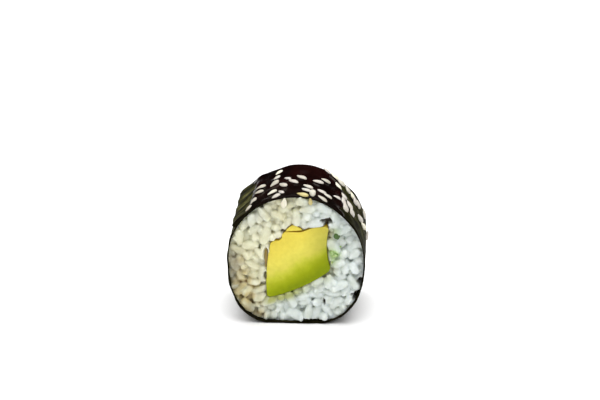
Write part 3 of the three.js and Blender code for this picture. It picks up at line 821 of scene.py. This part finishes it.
def kept_in_room(points, side):
    """Draws the rice up to the wrap and the filling, and lets it spill where the wrap is cut."""
    x, y, z = points.T
    out = np.hypot(x, z)
    angle = np.arctan2(z, x)
    face = side * y
    to_wrap = section_radius(angle) - out
    low = np.minimum(to_wrap, z + SEAT_DEPTH)
    near = 1 - smooth_step(0.4, NEAR_REACH, low)
    out = out + RICE_DRAWN[1] * near
    past_edge = face - HALF_LENGTH + 0.1
    spills = smooth_step(0.0, 0.3, past_edge)
    lowest = SPILL_REACH * spills
    if side < 0:
        here = smooth_step(SPILL[0], SPILL[0] + 2, x) * (1 - smooth_step(SPILL[1] - 2, SPILL[1], x))
        below = smooth_step(-0.75, -0.95, z / SEAT_DEPTH) * here
        out = out + SPILL_REACH * below * near
        lowest = lowest + SPILL_DROP * spills * below
    room = section_radius(angle) - NORI_THICKNESS - RICE_GAP + lowest
    out = np.minimum(out, room)
    x, z = out * np.cos(angle), out * np.sin(angle)
    z = np.maximum(z, NORI_THICKNESS + RICE_GAP - lowest - SEAT_DEPTH)
    flat = np.stack([x, z], axis=1)
    for (outline, back), reach in zip(FILLINGS, RICE_OVERHANG):
        filling = outline_at(outline, back, side * HALF_LENGTH)
        distance, away = away_from(filling, flat)
        drawn = RICE_DRAWN[0] * (1 - smooth_step(0.3, NEAR_REACH, distance))
        overhang = reach * smooth_step(-0.12, 0.15, face - HALF_LENGTH)
        room = np.maximum(distance - drawn, 0.05 - overhang)
        flat = flat + away * (room - distance)[:, None]
    for outline, _ in PEEL_STRIPS if side < 0 else []:
        distance, _ = away_from(np.array(outline), flat)
        behind = PEEL_ROOM - HALF_LENGTH
        y = y + np.maximum(0, behind - y) * (1 - smooth_step(0.0, 0.35, distance))
    return ring_at(flat, y)


def rice_core(material):
    """The plain body of rice between the two faces, hidden by them and by the wrap."""
    half = HALF_LENGTH - BED_DEPTHS[1] + CORE_OVERLAP
    prism = prism_between(-half, half, NORI_THICKNESS + 0.1, SECTION_COLUMNS)
    block = bare_object("rice_block", *prism)
    cutters = []
    for outline, back in FILLINGS:
        loops = []
        for y in (-half - 1, half + 1):
            ring = grown(outline_at(outline, back, y), CORE_CLEARANCE)
            loops.append(ring_at(ring, y))
        cutter = bare_object("rice_cutter", *closed_row(loops))
        cutters.append(cutter)
        cut = block.modifiers.new("cut", "BOOLEAN")
        cut.operation = "DIFFERENCE"
        cut.solver = "EXACT"
        cut.object = cutter
    mesh = bpy.data.meshes.new_from_object(evaluated(block))
    points = np.array([v.co for v in mesh.vertices]) / MM
    faces = [tuple(p.vertices) for p in mesh.polygons]
    for used in [block, *cutters]:
        bpy.data.objects.remove(used)
    made = piece("rice_core", points, faces, material, ["rice"])
    made.data.shade_flat()


def closed_row(loops):
    """Points and faces of a skin over a row of loops, with a fan of faces over each end."""
    around = len(loops[0])
    points = np.concatenate(loops)
    faces = []
    for band in range(len(loops) - 1):
        here, there = band * around, (band + 1) * around
        for i in range(around):
            j = (i + 1) % around
            faces.append((here + i, here + j, there + j, there + i))
    first, last = len(points), len(points) + 1
    points = np.concatenate([points, [loops[0].mean(0)], [loops[-1].mean(0)]])
    end = (len(loops) - 1) * around
    for i in range(around):
        j = (i + 1) % around
        faces.append((first, j, i))
        faces.append((last, end + i, end + j))
    return points, faces


# ---- Avocado ----


def strip_shape(sides, corner_radius, back, recess, soft_edge):
    """Points and faces of a strip of filling whose cut edges are rounded."""
    outline = corners_cut(rounded_outline(sides, corner_radius, 0.8), 2)
    half = HALF_LENGTH - recess
    turns = np.linspace(0, math.pi / 2, 5)
    front = [(-half + soft_edge * (1 - math.cos(t)), -soft_edge * (1 - math.sin(t))) for t in turns]
    rear = [(-y, inset) for y, inset in reversed(front)]
    body = [(y, 0.0) for y in np.linspace(front[-1][0], rear[0][0], 26)[1:-1]]
    rings = np.linspace(0, 1, FACE_RINGS + 1)[1:-1]
    stations = [(*front[0], share) for share in rings]
    stations += [(y, inset, 1.0) for y, inset in front + body + rear]
    stations += [(*rear[-1], share) for share in rings[::-1]]
    loops = []
    for y, inset, share in stations:
        ring = grown(outline_at(outline, back, y), inset)
        loops.append(ring_at(mix(ring.mean(0), ring, share), y))
    return closed_row(loops)


def filling_piece(name, node, material, points, faces, recess):
    """Adds the soft unevenness of cut avocado to a strip, and tells its face from its sides."""
    points = points.copy()
    reach = np.abs(points[:, 1])
    on_face = smooth_step(HALF_LENGTH - recess - 0.3, HALF_LENGTH - recess - 0.05, reach)
    uneven = 0.09 * perlin(points, 3.0) + 0.03 * perlin(points, 1.1, 7.0)
    points[:, 1] -= np.sign(points[:, 1]) * on_face * (0.1 + uneven + 0.1 * perlin(points, 6.0, 3.0))
    radial = np.hypot(points[:, 0], points[:, 2]) + 1e-6
    points[:, [0, 2]] *= 1 + ((uneven - 0.1) * (1 - on_face) / radial)[:, None]
    piece(name, points, faces, material, [node], {"cut": on_face})


def avocado_piece(material):
    """The main strip of avocado."""
    edge = CUT_EDGE_RADII[0]
    shape = strip_shape(AVOCADO_SIDES, AVOCADO_CORNER_RADIUS, AVOCADO_BACK, AVOCADO_RECESS, edge)
    filling_piece("avocado_strip", "avocado", material, *shape, AVOCADO_RECESS)


def sliver_piece(material):
    """The tip, which sags until it all but lies on the avocado."""
    top = max(z for (_, z), _ in SLIVER_SIDES)
    sagging = [((x, top - (top - z) * SLIVER_SAG), bulge) for (x, z), bulge in SLIVER_SIDES]
    edge = CUT_EDGE_RADII[1]
    shape = strip_shape(sagging, SLIVER_CORNER_RADIUS, SLIVER_BACK, SLIVER_RECESS, edge)
    filling_piece("avocado_tip", "avocado_sliver", material, *shape, SLIVER_RECESS)


# ---- Nori, sauce and sesame ----


def tube(loops):
    """Faces of a skin over a ring of loops, whose last loop joins the first."""
    count, around = loops.shape[:2]
    i, j = np.meshgrid(np.arange(count), np.arange(around), indexing="ij")
    i2, j2 = (i + 1) % count, (j + 1) % around
    quads = np.stack([i * around + j, i * around + j2, i2 * around + j2, i2 * around + j], axis=-1)
    return quads.reshape(-1, 4)


def nori_piece(material):
    """The sheet, creased and a little torn, with a straight step at the free edge of its flap."""
    free_edge = math.radians(FLAP_START + FLAP_LENGTH)
    angles = np.linspace(0, 2 * math.pi, WRAP_COLUMNS, endpoint=False) - math.pi / 2
    angles = np.sort(np.concatenate([angles, [free_edge - 0.003, free_edge]]))
    angle, share, y, plain = wrap_grid(angles, WRAP_STATIONS)
    broad, fine = NORI_CREASES
    creased = broad * perlin(plain, 2.4) + fine * perlin(plain * [1, 0.35, 1], 0.9, 5.0)
    torn = NORI_TEAR * perlin(plain, 0.9, 11.0).reshape(angle.shape)
    near_edge = np.maximum(1 - share * 30, 1 - (1 - share) * 30).clip(0, 1)
    y = y + torn * near_edge * np.sign(share - 0.5)
    lift = creased.reshape(angle.shape) - sum(NORI_CREASES) - 0.01
    outer = wrap_point(angle, y, lift)
    inner_angle, inner_at = np.meshgrid(angles, NORI_INNER_STATIONS, indexing="ij")
    inner_y = mix(y[:, :1], y[:, -1:], inner_at)
    inner = section_point(inner_angle, NORI_THICKNESS, inner_y)
    loops = np.concatenate([outer, inner], axis=1)
    points = loops.reshape(-1, 3)
    arc = np.concatenate([angle, inner_angle], axis=1).ravel() * HALF_WIDTH
    sheet = np.stack([arc, points[:, 1], np.zeros(len(points))], axis=1)
    faces = tube(loops)[:, ::-1].tolist()
    piece("nori_sheet", points, faces, material, ["nori_wrap"], {"sheet": sheet})


def seed_places():
    """Angle, y, turn and scale of each seed on the wrap, as the solids have them."""
    draws = seeded_draws(SEED_DRAWS)
    edge = HALF_LENGTH - SEED_MARGIN
    lean_scatter, y_scatter, turn_scatter = SEED_SCATTER
    places, taken = [], []
    for start, end, seeds, turn in SEED_STREAKS:
        for share in np.linspace(0, 1, seeds):
            further = 1.0
            while True:
                lean = mix(start[0], end[0], share) + further * lean_scatter * mix(-1, 1, next(draws))
                along = mix(start[1], end[1], share) + further * y_scatter * mix(-1, 1, next(draws))
                y = min(edge, max(-edge, along))
                angle = math.radians(90 - lean)
                spot = wrap_point(angle, y)
                if all(np.linalg.norm(spot - other) >= SEED_SPACING for other in taken):
                    break
                further += 0.2
            heading = math.radians(turn + turn_scatter * mix(-1, 1, next(draws)))
            places.append((angle, y, heading, mix(*SEED_SPREAD, next(draws))))
            taken.append(spot)
    return places


def seed_shape(place, normal, heading, scale):
    """A flat drop: round at one end and drawn to a point at the other."""
    points = ball_points(*SEED_MESH)
    taper = 1 - SEED_TAPER * smooth_step(-0.4, 1, points[:, 1])
    points[:, [0, 2]] *= taper[:, None]
    points[:, 2] *= 1 - 0.15 * smooth_step(0.2, 1, np.abs(points[:, 0]))
    points *= np.array([SEED_WIDTH, SEED_LENGTH, SEED_HEIGHT]) / 2 * scale
    across = np.cross(heading, normal)
    across /= np.linalg.norm(across)
    along = np.cross(normal, across)
    return points @ np.stack([across, along, normal]) + place


def wrap_directions(angle, y):
    """Round the wrap, along the roll and out of the wrap."""
    around = wrap_point(angle + 0.02, y) - wrap_point(angle - 0.02, y)
    around /= np.linalg.norm(around)
    along = np.array([0.0, 1.0, 0.0])
    return around, along, np.cross(along, around)


def seed_drop(turn, tip, scale):
    """How far a tipped seed reaches down from its middle."""
    length = SEED_LENGTH * math.sin(turn) * math.sin(tip)
    width = SEED_WIDTH * math.cos(turn) * math.sin(tip)
    return scale * math.hypot(length, width, SEED_HEIGHT * math.cos(tip)) / 2


def standing_seed():
    """One seed that stands on its round end and leans to the left."""
    lean, y, pitch, sideways = STANDING_SEED
    angle, pitch, sideways = math.radians(90 - lean), math.radians(pitch), math.radians(sideways)
    around, along, normal = wrap_directions(angle, y)
    upright = normal * math.cos(sideways) + around * math.sin(sideways)
    heading = along * math.cos(pitch) + upright * math.sin(pitch)
    facing = upright * math.cos(pitch) - along * math.sin(pitch)
    place = wrap_point(angle, y) + heading * STANDING_HOLD * SEED_LENGTH + normal * SEED_LIFT
    return seed_shape(place, facing, heading, 1.0)


def sesame_piece(material):
    """All seeds, on the wrap and on the front face, with a tone for each."""
    shapes, tones = [], []
    faces = ball_faces(*SEED_MESH)
    draws = seeded_draws(SEED_DRAWS + 1)
    tips = seeded_draws(SEED_DRAWS + 2)
    for angle, y, turn, scale in seed_places():
        around, along, normal = wrap_directions(angle, y)
        tip = math.radians(mix(*SEED_TIP, next(tips)))
        lift = max(SEED_LIFT, seed_drop(turn, tip, scale) - SEED_SINK)
        heading = around * math.cos(turn) + along * math.sin(turn)
        tipped = normal * math.cos(tip) - along * math.sin(tip)
        shapes.append((seed_shape(wrap_point(angle, y) + normal * lift, tipped, heading, scale), faces))
        tones.append(next(draws))
    shapes.append((standing_seed(), faces))
    tones.append(STANDING_TONE)
    for x, depth, z, lean, scale, tone in SEEDS_ON_FACE:
        heading = np.array([math.sin(math.radians(lean)), 0.1, math.cos(math.radians(lean))])
        place = np.array([x, depth - HALF_LENGTH, z])
        seed = seed_shape(place, np.array([0, -1.0, 0]), heading, scale)
        seed[:, 1] = np.maximum(seed[:, 1], -HALF_LENGTH - 0.5)
        shapes.append((seed, faces))
        tones.append(tone)
    tones[YELLOW_SEED] = YELLOW_TONE
    points, faces = joined(shapes)
    tone = np.repeat(tones, len(shapes[0][0]))
    piece("sesame_seeds", points, faces, material, ["nori_wrap", "rice"], {"tone": tone})


def sauce_piece(material):
    """A thin film over the top of the wrap, with an irregular edge and a rim round each seed."""
    left, right = SAUCE_REACH
    low = math.radians(90 - right - SAUCE_MARGIN)
    before_free_edge = FLAP_START + FLAP_LENGTH - 2
    high = math.radians(min(90 - left + SAUCE_MARGIN, before_free_edge))
    angles = np.linspace(low, high, SAUCE_COLUMNS)
    angle, share, y, plain = wrap_grid(angles, SAUCE_STATIONS)
    lean = 90 - np.degrees(angle)
    inside = np.minimum(lean - left, right - lean)
    broad, fine = SAUCE_RAGGED
    ragged = broad * perlin(plain, 7.0, 2.0) + fine * perlin(plain, 2.6, 9.0)
    cover = smooth_step(-3, 5, inside + ragged.reshape(angle.shape))
    streaks = SAUCE_STREAKS * perlin(plain * [1, 0.4, 1], 2.2, 4.0).reshape(angle.shape)
    depth = SAUCE_DEPTH * (0.7 + streaks) * cover - SAUCE_SUNK * (1 - cover)
    tree = tree_of([wrap_point(seed_angle, seed_y) for seed_angle, seed_y, _, _ in seed_places()])
    near = np.array([tree.find(p)[2] for p in plain]).reshape(angle.shape)
    depth = depth + SAUCE_RIM * cover * (1 - smooth_step(0.7, 1.9, near))
    tuck = smooth_step(0, 0.03, share) * smooth_step(0, 0.03, 1 - share)
    depth = mix(-SAUCE_TUCK, depth, tuck)
    top = wrap_point(angle, y, depth)
    under = wrap_point(angle, y, np.full_like(depth, -SAUCE_UNDERSIDE))
    loops = np.concatenate([top, under[:, ::-1]], axis=1)
    count, around = loops.shape[:2]
    faces = tube(loops)[: (count - 1) * around].tolist()
    faces.append(list(range(around)))
    faces.append(list(range(count * around - 1, (count - 1) * around - 1, -1)))
    piece("sauce_glaze", loops.reshape(-1, 3), [face[::-1] for face in faces], material)


# ---- Crumbs ----


def crumbs_piece(material):
    """The green scraps on the rice, and the brown strips beside the filling, partly painted shade."""
    cut = -HALF_LENGTH
    shapes, tones = [], []
    for x, z, width, height, tone in SCRAPS:
        points = ball_points(*GRAIN_MESH)
        points *= (1 + SCRAP_LUMPS * perlin(points + [x, 0, z], 0.7))[:, None]
        points *= [width / 2, SCRAP_THICKNESS / 2, height / 2]
        shapes.append((points + [x, cut - 0.1, z], ball_faces(*GRAIN_MESH)))
        tones.append(tone)
    for corners, tone in PEEL_STRIPS:
        outline = corners_cut(grown(corners_cut(np.array(corners), 1), -0.03), 2)
        stations = np.linspace(cut + 0.1, cut + PEEL_DEPTH, 8)
        peel, faces = closed_row([ring_at(outline, y) for y in stations])
        shapes.append((peel + 0.05 * perlin(peel, 0.9)[:, None], faces))
        tones.append(tone)
    points, faces = joined(shapes)
    tone = np.repeat(tones, [len(shape) for shape, _ in shapes])
    piece("avocado_crumbs", points, faces, material, (), {"tone": tone})


# ---- Materials ----


def grey(level):
    return (level,) * 3


def preset(node, **values):
    """Sets inputs of a node, with _ for the spaces in their names."""
    for key, value in values.items():
        node.inputs[key.replace("_", " ")].default_value = value


class Finish:
    """A material with a principled shader, and short ways to add and join its nodes. glow is the
    weight, reach in millimetres and colour of the light that passes through it."""

    def __init__(self, name, glow=None, **settings):
        self.material = bpy.data.materials.new(name)
        self.material.use_nodes = True
        self.tree = self.material.node_tree
        self.shader = self.tree.nodes["Principled BSDF"]
        preset(self.shader, **settings)
        if glow:
            weight, reach, colour = glow
            preset(self.shader, Subsurface_Weight=weight, Subsurface_Scale=reach * MM)
            preset(self.shader, Subsurface_Radius=colour)

    def add(self, kind, **settings):
        node = self.tree.nodes.new("ShaderNode" + kind)
        for key, value in settings.items():
            setattr(node, key, value)
        return node

    def join(self, source, target):
        self.tree.links.new(source, target)

    def attribute(self, name, kind="Fac"):
        return self.add("Attribute", attribute_name=name).outputs[kind]

    def stretched(self, vector, scale):
        mapping = self.add("Mapping")
        preset(mapping, Scale=scale)
        self.join(vector, mapping.inputs["Vector"])
        return mapping.outputs["Vector"]

    def place(self, stretch):
        """Object coordinates in millimetres, each times its part of stretch."""
        return self.stretched(self.add("TexCoord").outputs["Object"], [s / MM for s in stretch])

    def noise(self, scale, detail=3.0, roughness=0.5, stretch=(1, 1, 1), vector=None):
        """Noise with about scale features a millimetre, over the piece or over a given vector."""
        if vector is None:
            vector = self.place(stretch)
        node = self.add("TexNoise")
        preset(node, Scale=scale, Detail=detail, Roughness=roughness)
        self.join(vector, node.inputs["Vector"])
        return node.outputs["Fac"]

    def ramp(self, value, stops):
        node = self.add("ValToRGB")
        ramp = node.color_ramp
        while len(ramp.elements) < len(stops):
            ramp.elements.new(0.5)
        for element, (place, colour) in zip(ramp.elements, stops):
            element.position = place
            element.color = (*colour, 1)
        self.join(value, node.inputs["Fac"])
        return node.outputs["Color"]

    def fill(self, socket, value):
        """Joins a node's output to a socket, or sets a plain number or colour on it."""
        if isinstance(value, (int, float)):
            socket.default_value = value
        elif isinstance(value, tuple):
            socket.default_value = (*value, 1)
        else:
            self.join(value, socket)

    def sum(self, first, second, operation="ADD"):
        node = self.add("Math", operation=operation)
        for socket, value in zip(node.inputs, (first, second)):
            self.fill(socket, value)
        return node.outputs[0]

    def product(self, first, second):
        return self.sum(first, second, "MULTIPLY")

    def blend(self, share, first, second, kind="MIX"):
        node = self.add("Mix", data_type="RGBA", blend_type=kind)
        for socket, value in zip((node.inputs[0], node.inputs[6], node.inputs[7]), (share, first, second)):
            self.fill(socket, value)
        return node.outputs[2]

    def tint(self, share, base, colour):
        """A base colour that is multiplied by another one, as far as share says."""
        return self.blend(share, base, colour, "MULTIPLY")

    def along(self, direction, low, high):
        """0 to 1 along a direction in the row frame, from low to high in millimetres."""
        coordinates = self.add("TexCoord")
        dot = self.add("VectorMath", operation="DOT_PRODUCT")
        self.join(coordinates.outputs["Object"], dot.inputs[0])
        dot.inputs[1].default_value = [d / MM for d in direction]
        spread = self.add("MapRange")
        preset(spread, From_Min=low, From_Max=high)
        self.join(dot.outputs["Value"], spread.inputs["Value"])
        return spread.outputs["Result"]

    def colour(self, value):
        self.join(value, self.shader.inputs["Base Color"])

    def rough(self, value, low, high):
        """Roughness between low and high, as the noise in value goes."""
        spread = self.ramp(value, [(0.3, grey(low)), (0.7, grey(high))])
        self.join(spread, self.shader.inputs["Roughness"])

    def bump(self, height, strength, distance):
        node = self.add("Bump")
        preset(node, Strength=strength, Distance=distance * MM)
        self.join(height, node.inputs["Height"])
        self.join(node.outputs["Normal"], self.shader.inputs["Normal"])


# Colours from the darkest tone of a grain to the lightest.
RICE_WHITES = [
    (0.0, (0.46, 0.5, 0.47)),
    (0.27, (0.59, 0.625, 0.57)),
    (0.45, (0.665, 0.705, 0.665)),
    (0.72, (0.735, 0.78, 0.76)),
    (1.0, (0.83, 0.87, 0.86)),
]
# Colours from the stone's side of the flesh to the skin's.
AVOCADO_BANDS = [
    (0.0, (0.745, 0.594, 0.08)),
    (0.2, (0.78, 0.655, 0.098)),
    (0.4, (0.775, 0.685, 0.112)),
    (0.55, (0.7, 0.64, 0.1)),
    (0.64, (0.56, 0.57, 0.05)),
    (0.73, (0.41, 0.45, 0.016)),
    (0.85, (0.3, 0.355, 0.004)),
    (1.0, (0.22, 0.28, 0.002)),
]
# Where those bands start and end in millimetres towards the skin, and the browned outsides.
AVOCADO_TURNS_GREEN, TIP_TURNS_GREEN = (-24.5, -9.5), (-27.0, -9.5)
BROWNED_SIDE, BROWNED_TIP_SIDE = (0.72, 0.48, 0.05), (0.8, 0.5, 0.04)
# Black, and two tones of the olive streaks.
NORI_COLOURS = [(0.62, (0.005, 0.0045, 0.0015)), (0.76, (0.019, 0.018, 0.006)), (0.93, (0.1, 0.097, 0.041))]
# Half of a seed's tone is its place here: pale cream, three whites and yellow.
SEED_HULLS = [
    (0.0, (0.78, 0.75, 0.6)),
    (0.06, (0.54, 0.515, 0.44)),
    (0.25, (0.54, 0.505, 0.46)),
    (0.5, (0.46, 0.43, 0.35)),
    (1.0, (0.53, 0.46, 0.19)),
]
# Half of a scrap's tone is its place here: dark and light green, then brown and dark brown for the
# strips, which are partly painted shade.
SCRAP_COLOURS = [
    (0.0, (0.045, 0.11, 0.01)),
    (0.3, (0.2, 0.36, 0.05)),
    (0.5, (0.42, 0.58, 0.25)),
    (0.9, (0.27, 0.18, 0.03)),
    (1.0, (0.1, 0.085, 0.02)),
]


def rice_finish():
    """Moist and a little translucent, whiter in some grains, tinted where sauce has soaked in, with painted
    shade in the creases, in the pits and along the rim of the wrap.
    """
    finish = Finish("cooked_rice", (0.85, 2.6, (1.0, 0.97, 0.85)), IOR=1.38, Specular_IOR_Level=0.5)
    white = finish.ramp(finish.product(finish.sum(finish.attribute("tone"), 0.6), 0.45), RICE_WHITES)
    pale = finish.ramp(finish.noise(0.6, 4), [(0.3, (0.56, 0.6, 0.55)), (0.72, (0.8, 0.84, 0.84))])
    white = finish.blend(0.4, white, pale)
    warm = finish.tint(1.0, white, (1.0, 0.95, 0.74))
    cool = finish.tint(1.0, white, (0.945, 0.965, 0.965))
    white = finish.blend(finish.attribute("cool"), warm, cool)
    white = finish.tint(finish.attribute("smear"), white, (0.6, 0.6, 0.26))
    white = finish.tint(finish.attribute("green"), white, (0.72, 0.92, 0.42))
    soak = finish.attribute("soak")
    white = finish.tint(soak, white, (0.78, 0.67, 0.48))
    # Painted shade in the creases between the grains, in patches; where sauce has soaked in, the creases
    # are also brown from it.
    crease = finish.ramp(finish.attribute("crease"), [(0.0, grey(0)), (0.03, grey(1))])
    gap = finish.blend(soak, (0.7, 0.7, 0.62), (0.4, 0.24, 0.09))
    patchy_crease_shade = finish.ramp(finish.noise(0.28, 2), [(0.38, grey(0.05)), (0.62, grey(0.55))])
    shaded = finish.sum(finish.product(soak, 0.35), patchy_crease_shade)
    white = finish.tint(finish.product(crease, shaded), white, gap)
    # Painted shade in the pits between the grains.
    white = finish.blend(finish.attribute("pit"), white, (0.13, 0.105, 0.07))
    # Painted shade along the rim of the wrap, with greyer glassy rice there.
    finish.colour(finish.tint(finish.attribute("dim"), white, (0.56, 0.55, 0.58)))
    fine = finish.noise(1.6, 5, 0.6)
    finish.rough(fine, 0.14, 0.34)
    finish.bump(fine, 0.35, 0.1)
    return finish.material


def avocado_finish(name, start, end, side):
    """Yellow flesh that turns green towards the side that lay under the skin. side is the colour of
    the uncut outside, which has browned."""
    finish = Finish(name, (0.15, 0.8, (1.0, 0.8, 0.2)), IOR=1.4, Specular_IOR_Level=0.1)
    band = finish.along((0.54, 0, -0.84), start, end)
    wander = finish.product(finish.sum(finish.noise(0.16, 4), 0.5, "SUBTRACT"), 0.3)
    flesh = finish.ramp(finish.sum(band, wander), AVOCADO_BANDS)
    mottled = finish.ramp(finish.noise(0.8, 5, 0.6), [(0.3, (0.8, 0.79, 0.72)), (0.7, grey(1))])
    flesh = finish.tint(0.5, flesh, mottled)
    edge = finish.product(finish.along((1, 0, 0.05), 3.0, 10.0), finish.along((0, 0, 1), 16.5, 23.0))
    flesh = finish.tint(finish.product(edge, 0.95), flesh, (0.64, 0.66, 0.66))
    finish.colour(finish.blend(finish.attribute("cut"), side, flesh))
    strokes = finish.noise(1.4, 4, 0.6, stretch=(0.3, 1, 1.1))
    finish.rough(strokes, 0.3, 0.5)
    finish.bump(strokes, 0.3, 0.12)
    return finish.material


def nori_finish():
    """Dull, with olive and black streaks round the roll, and darkest inside and at the cut edges."""
    finish = Finish("toasted_nori", IOR=1.4, Specular_IOR_Level=0.004)
    sheet = finish.attribute("sheet", "Vector")
    fibres = finish.noise(1.0, 6, 0.65, vector=finish.stretched(sheet, (0.12, 1.2, 1)))
    patches = finish.noise(0.22, 4, 0.6, vector=sheet)
    dry = finish.ramp(finish.sum(fibres, finish.product(patches, 0.5)), NORI_COLOURS)
    ridges = finish.noise(1.0, 3, 0.6, vector=finish.stretched(sheet, (0.03, 0.75, 1)))
    broad = finish.ramp(ridges, [(0.4, grey(0.12)), (0.5, (0.6, 0.6, 0.55)), (0.57, (1, 1, 0.9))])
    dry = finish.tint(1.0, finish.tint(1.0, dry, (1.5, 1.5, 1.35)), broad)
    front_right = finish.product(finish.along((0, -1, 0), 7.0, 10.0), finish.along((1, 0, 0), 0, 8))
    dry = finish.tint(finish.product(front_right, 0.8), dry, (0.3, 0.3, 0.36))
    ends = [finish.along((0, way, 0), 0.1 - HALF_LENGTH, 0.7 - HALF_LENGTH) for way in (1, -1)]
    between_cuts = finish.product(*ends)
    finish.colour(finish.blend(between_cuts, (0.008, 0.007, 0.003), dry))
    finish.rough(fibres, 0.35, 0.6)
    finish.bump(fibres, 0.6, 0.15)
    return finish.material


def sauce_finish():
    """A wet dark glaze, maroon towards the back and browner in front."""
    finish = Finish("dark_glaze", IOR=1.42, Specular_IOR_Level=0.02)
    film = finish.noise(0.2, stretch=(1, 0.6, 1))
    maroon = finish.ramp(film, [(0.35, (0.002, 0.0004, 0.0003)), (0.75, (0.012, 0.0018, 0.0013))])
    brown = finish.ramp(film, [(0.35, (0.0025, 0.0012, 0.0008)), (0.75, (0.008, 0.004, 0.003))])
    finish.colour(finish.blend(finish.along((0, 1, 0), -12.0, -1.0), brown, maroon))
    finish.rough(film, 0.12, 0.26)
    finish.bump(finish.noise(0.7, stretch=(1, 0.6, 1)), 0.2, 0.3)
    return finish.material


def sesame_finish():
    """Smooth hulls with faint speckles."""
    finish = Finish("sesame_hull", (0.25, 0.5, (1.0, 0.8, 0.6)), Roughness=0.42)
    hull = finish.ramp(finish.product(finish.attribute("tone"), 0.5), SEED_HULLS)
    speckle = finish.noise(2.6, 4)
    speckled = finish.ramp(speckle, [(0.3, (0.78, 0.74, 0.68)), (0.6, grey(1))])
    finish.colour(finish.tint(0.35, hull, speckled))
    finish.bump(speckle, 0.25, 0.06)
    return finish.material


def crumb_finish():
    """Scraps of avocado, green ones and browned skin."""
    finish = Finish("avocado_scraps", (0.2, 0.6, (1.0, 0.2, 0.1)), Roughness=0.4)
    scrap = finish.ramp(finish.product(finish.attribute("tone"), 0.5), SCRAP_COLOURS)
    mottled = finish.noise(1.5, 4)
    shade = finish.ramp(mottled, [(0.3, (0.6, 0.6, 0.5)), (0.7, grey(1))])
    finish.colour(finish.tint(0.5, scrap, shade))
    finish.bump(mottled, 0.4, 0.1)
    return finish.material


# ---- The slice ----

rice = rice_finish()
rice_face("rice_front", -1, FRONT_DRAWS, rice)
rice_face("rice_back", 1, BACK_DRAWS, rice)
rice_core(rice)
avocado_piece(avocado_finish("avocado_flesh", *AVOCADO_TURNS_GREEN, BROWNED_SIDE))
sliver_piece(avocado_finish("avocado_tip_flesh", *TIP_TURNS_GREEN, BROWNED_TIP_SIDE))
nori_piece(nori_finish())
sauce_piece(sauce_finish())
sesame_piece(sesame_finish())
crumbs_piece(crumb_finish())

# ---- Table, light and camera ----

IMAGE_WIDTH, IMAGE_HEIGHT = 600, 400
VIEW_AZIMUTH, VIEW_ELEVATION, VIEW_DISTANCE = 3.33, 21.83, 448.0
SLICE_AT = (298.0, 244.6)  # where the middle of the slice shows in the photograph
FOCAL_PIXELS = 1555.0
SENSOR = 36.0
AIM_HEIGHT = 19.0
TABLE_HALF = 3000.0
LIGHT_DISTANCE = 0.8
# Azimuth and elevation in degrees, size in metres, power in watts and colour of each soft box.
LIGHTS = {
    "key": (10, 34, 0.7, 1.1, (1.0, 0.99, 0.97)),
    "top": (0, 86, 0.8, 4.0, (1.0, 1.0, 1.0)),
    "fill": (-45, 40, 0.7, 0.35, (1.0, 0.99, 0.96)),
    "rear": (165, 60, 0.5, 1.0, (1.0, 1.0, 1.0)),
}
# How bright the studio is lower down and overhead: the height of a direction, where 1 is straight
# up, and a level.
STUDIO = [(0.5, 0.05), (0.75, 1.6)]


def add_floor():
    """A plain pale table."""
    corners = [(x * TABLE_HALF, y * TABLE_HALF, 0) for x, y in ((-1, -1), (1, -1), (1, 1), (-1, 1))]
    floor = bare_object("table", corners, [(0, 1, 2, 3)])
    finish = Finish("pale_table", Roughness=0.6)
    finish.colour(finish.ramp(finish.noise(0.02, 2), [(0.0, grey(0.93)), (1.0, grey(0.96))]))
    floor.data.materials.append(finish.material)


def add_light(name, azimuth, elevation, size, power, colour):
    """A soft box that looks at the slice. Azimuth 0 is in front of it, and 90 is to the right."""
    data = bpy.data.lights.new(name, "AREA")
    data.shape = "SQUARE"
    data.size = size
    data.energy = power
    data.color = colour
    away = view_from(azimuth, elevation)
    point_along(linked(name, data), away * LIGHT_DISTANCE, -away)


def point_along(made, place, direction):
    made.location = place
    made.rotation_mode = "QUATERNION"
    made.rotation_quaternion = direction.to_track_quat("-Z", "Y")


def view_from(azimuth, elevation):
    """The direction from the slice to a place that is seen at these angles in degrees."""
    a, e = math.radians(azimuth), math.radians(elevation)
    return Vector((math.sin(a) * math.cos(e), -math.cos(a) * math.cos(e), math.sin(e)))


def add_world():
    """A dim studio round the slice, brighter overhead."""
    world = bpy.data.worlds.new("studio")
    world.use_nodes = True
    tree = world.node_tree
    backdrop = tree.nodes["Background"]
    coordinates = tree.nodes.new("ShaderNodeTexCoord")
    split = tree.nodes.new("ShaderNodeSeparateXYZ")
    ramp = tree.nodes.new("ShaderNodeValToRGB")
    tree.links.new(coordinates.outputs["Generated"], split.inputs[0])
    tree.links.new(split.outputs["Z"], ramp.inputs["Fac"])
    tree.links.new(ramp.outputs["Color"], backdrop.inputs["Color"])
    for element, (place, level) in zip(ramp.color_ramp.elements, STUDIO):
        element.position = place
        element.color = (*grey(level), 1)
    bpy.context.scene.world = world


def add_camera():
    """A camera at the photograph's angle, aimed so that the slice is where the photograph has it."""
    back = view_from(VIEW_AZIMUTH, VIEW_ELEVATION)
    right = view_from(VIEW_AZIMUTH + 90, 0)
    up = back.cross(right)
    middle = Vector((0, 0, AIM_HEIGHT * MM))
    size_of_pixel = VIEW_DISTANCE * MM / FOCAL_PIXELS
    aim = middle + right * (IMAGE_WIDTH / 2 - SLICE_AT[0]) * size_of_pixel
    aim += up * (SLICE_AT[1] - IMAGE_HEIGHT / 2) * size_of_pixel
    data = bpy.data.cameras.new("camera")
    data.sensor_width = SENSOR
    data.lens = FOCAL_PIXELS / IMAGE_WIDTH * SENSOR
    data.clip_start, data.clip_end = 0.01, 20
    camera = linked("camera", data)
    place = middle + back * VIEW_DISTANCE * MM
    point_along(camera, place, aim - place)
    bpy.context.scene.camera = camera


add_floor()
add_world()
for light_name, light in LIGHTS.items():
    add_light(light_name, *light)
add_camera()
bpy.context.scene.view_settings.view_transform = "Standard"
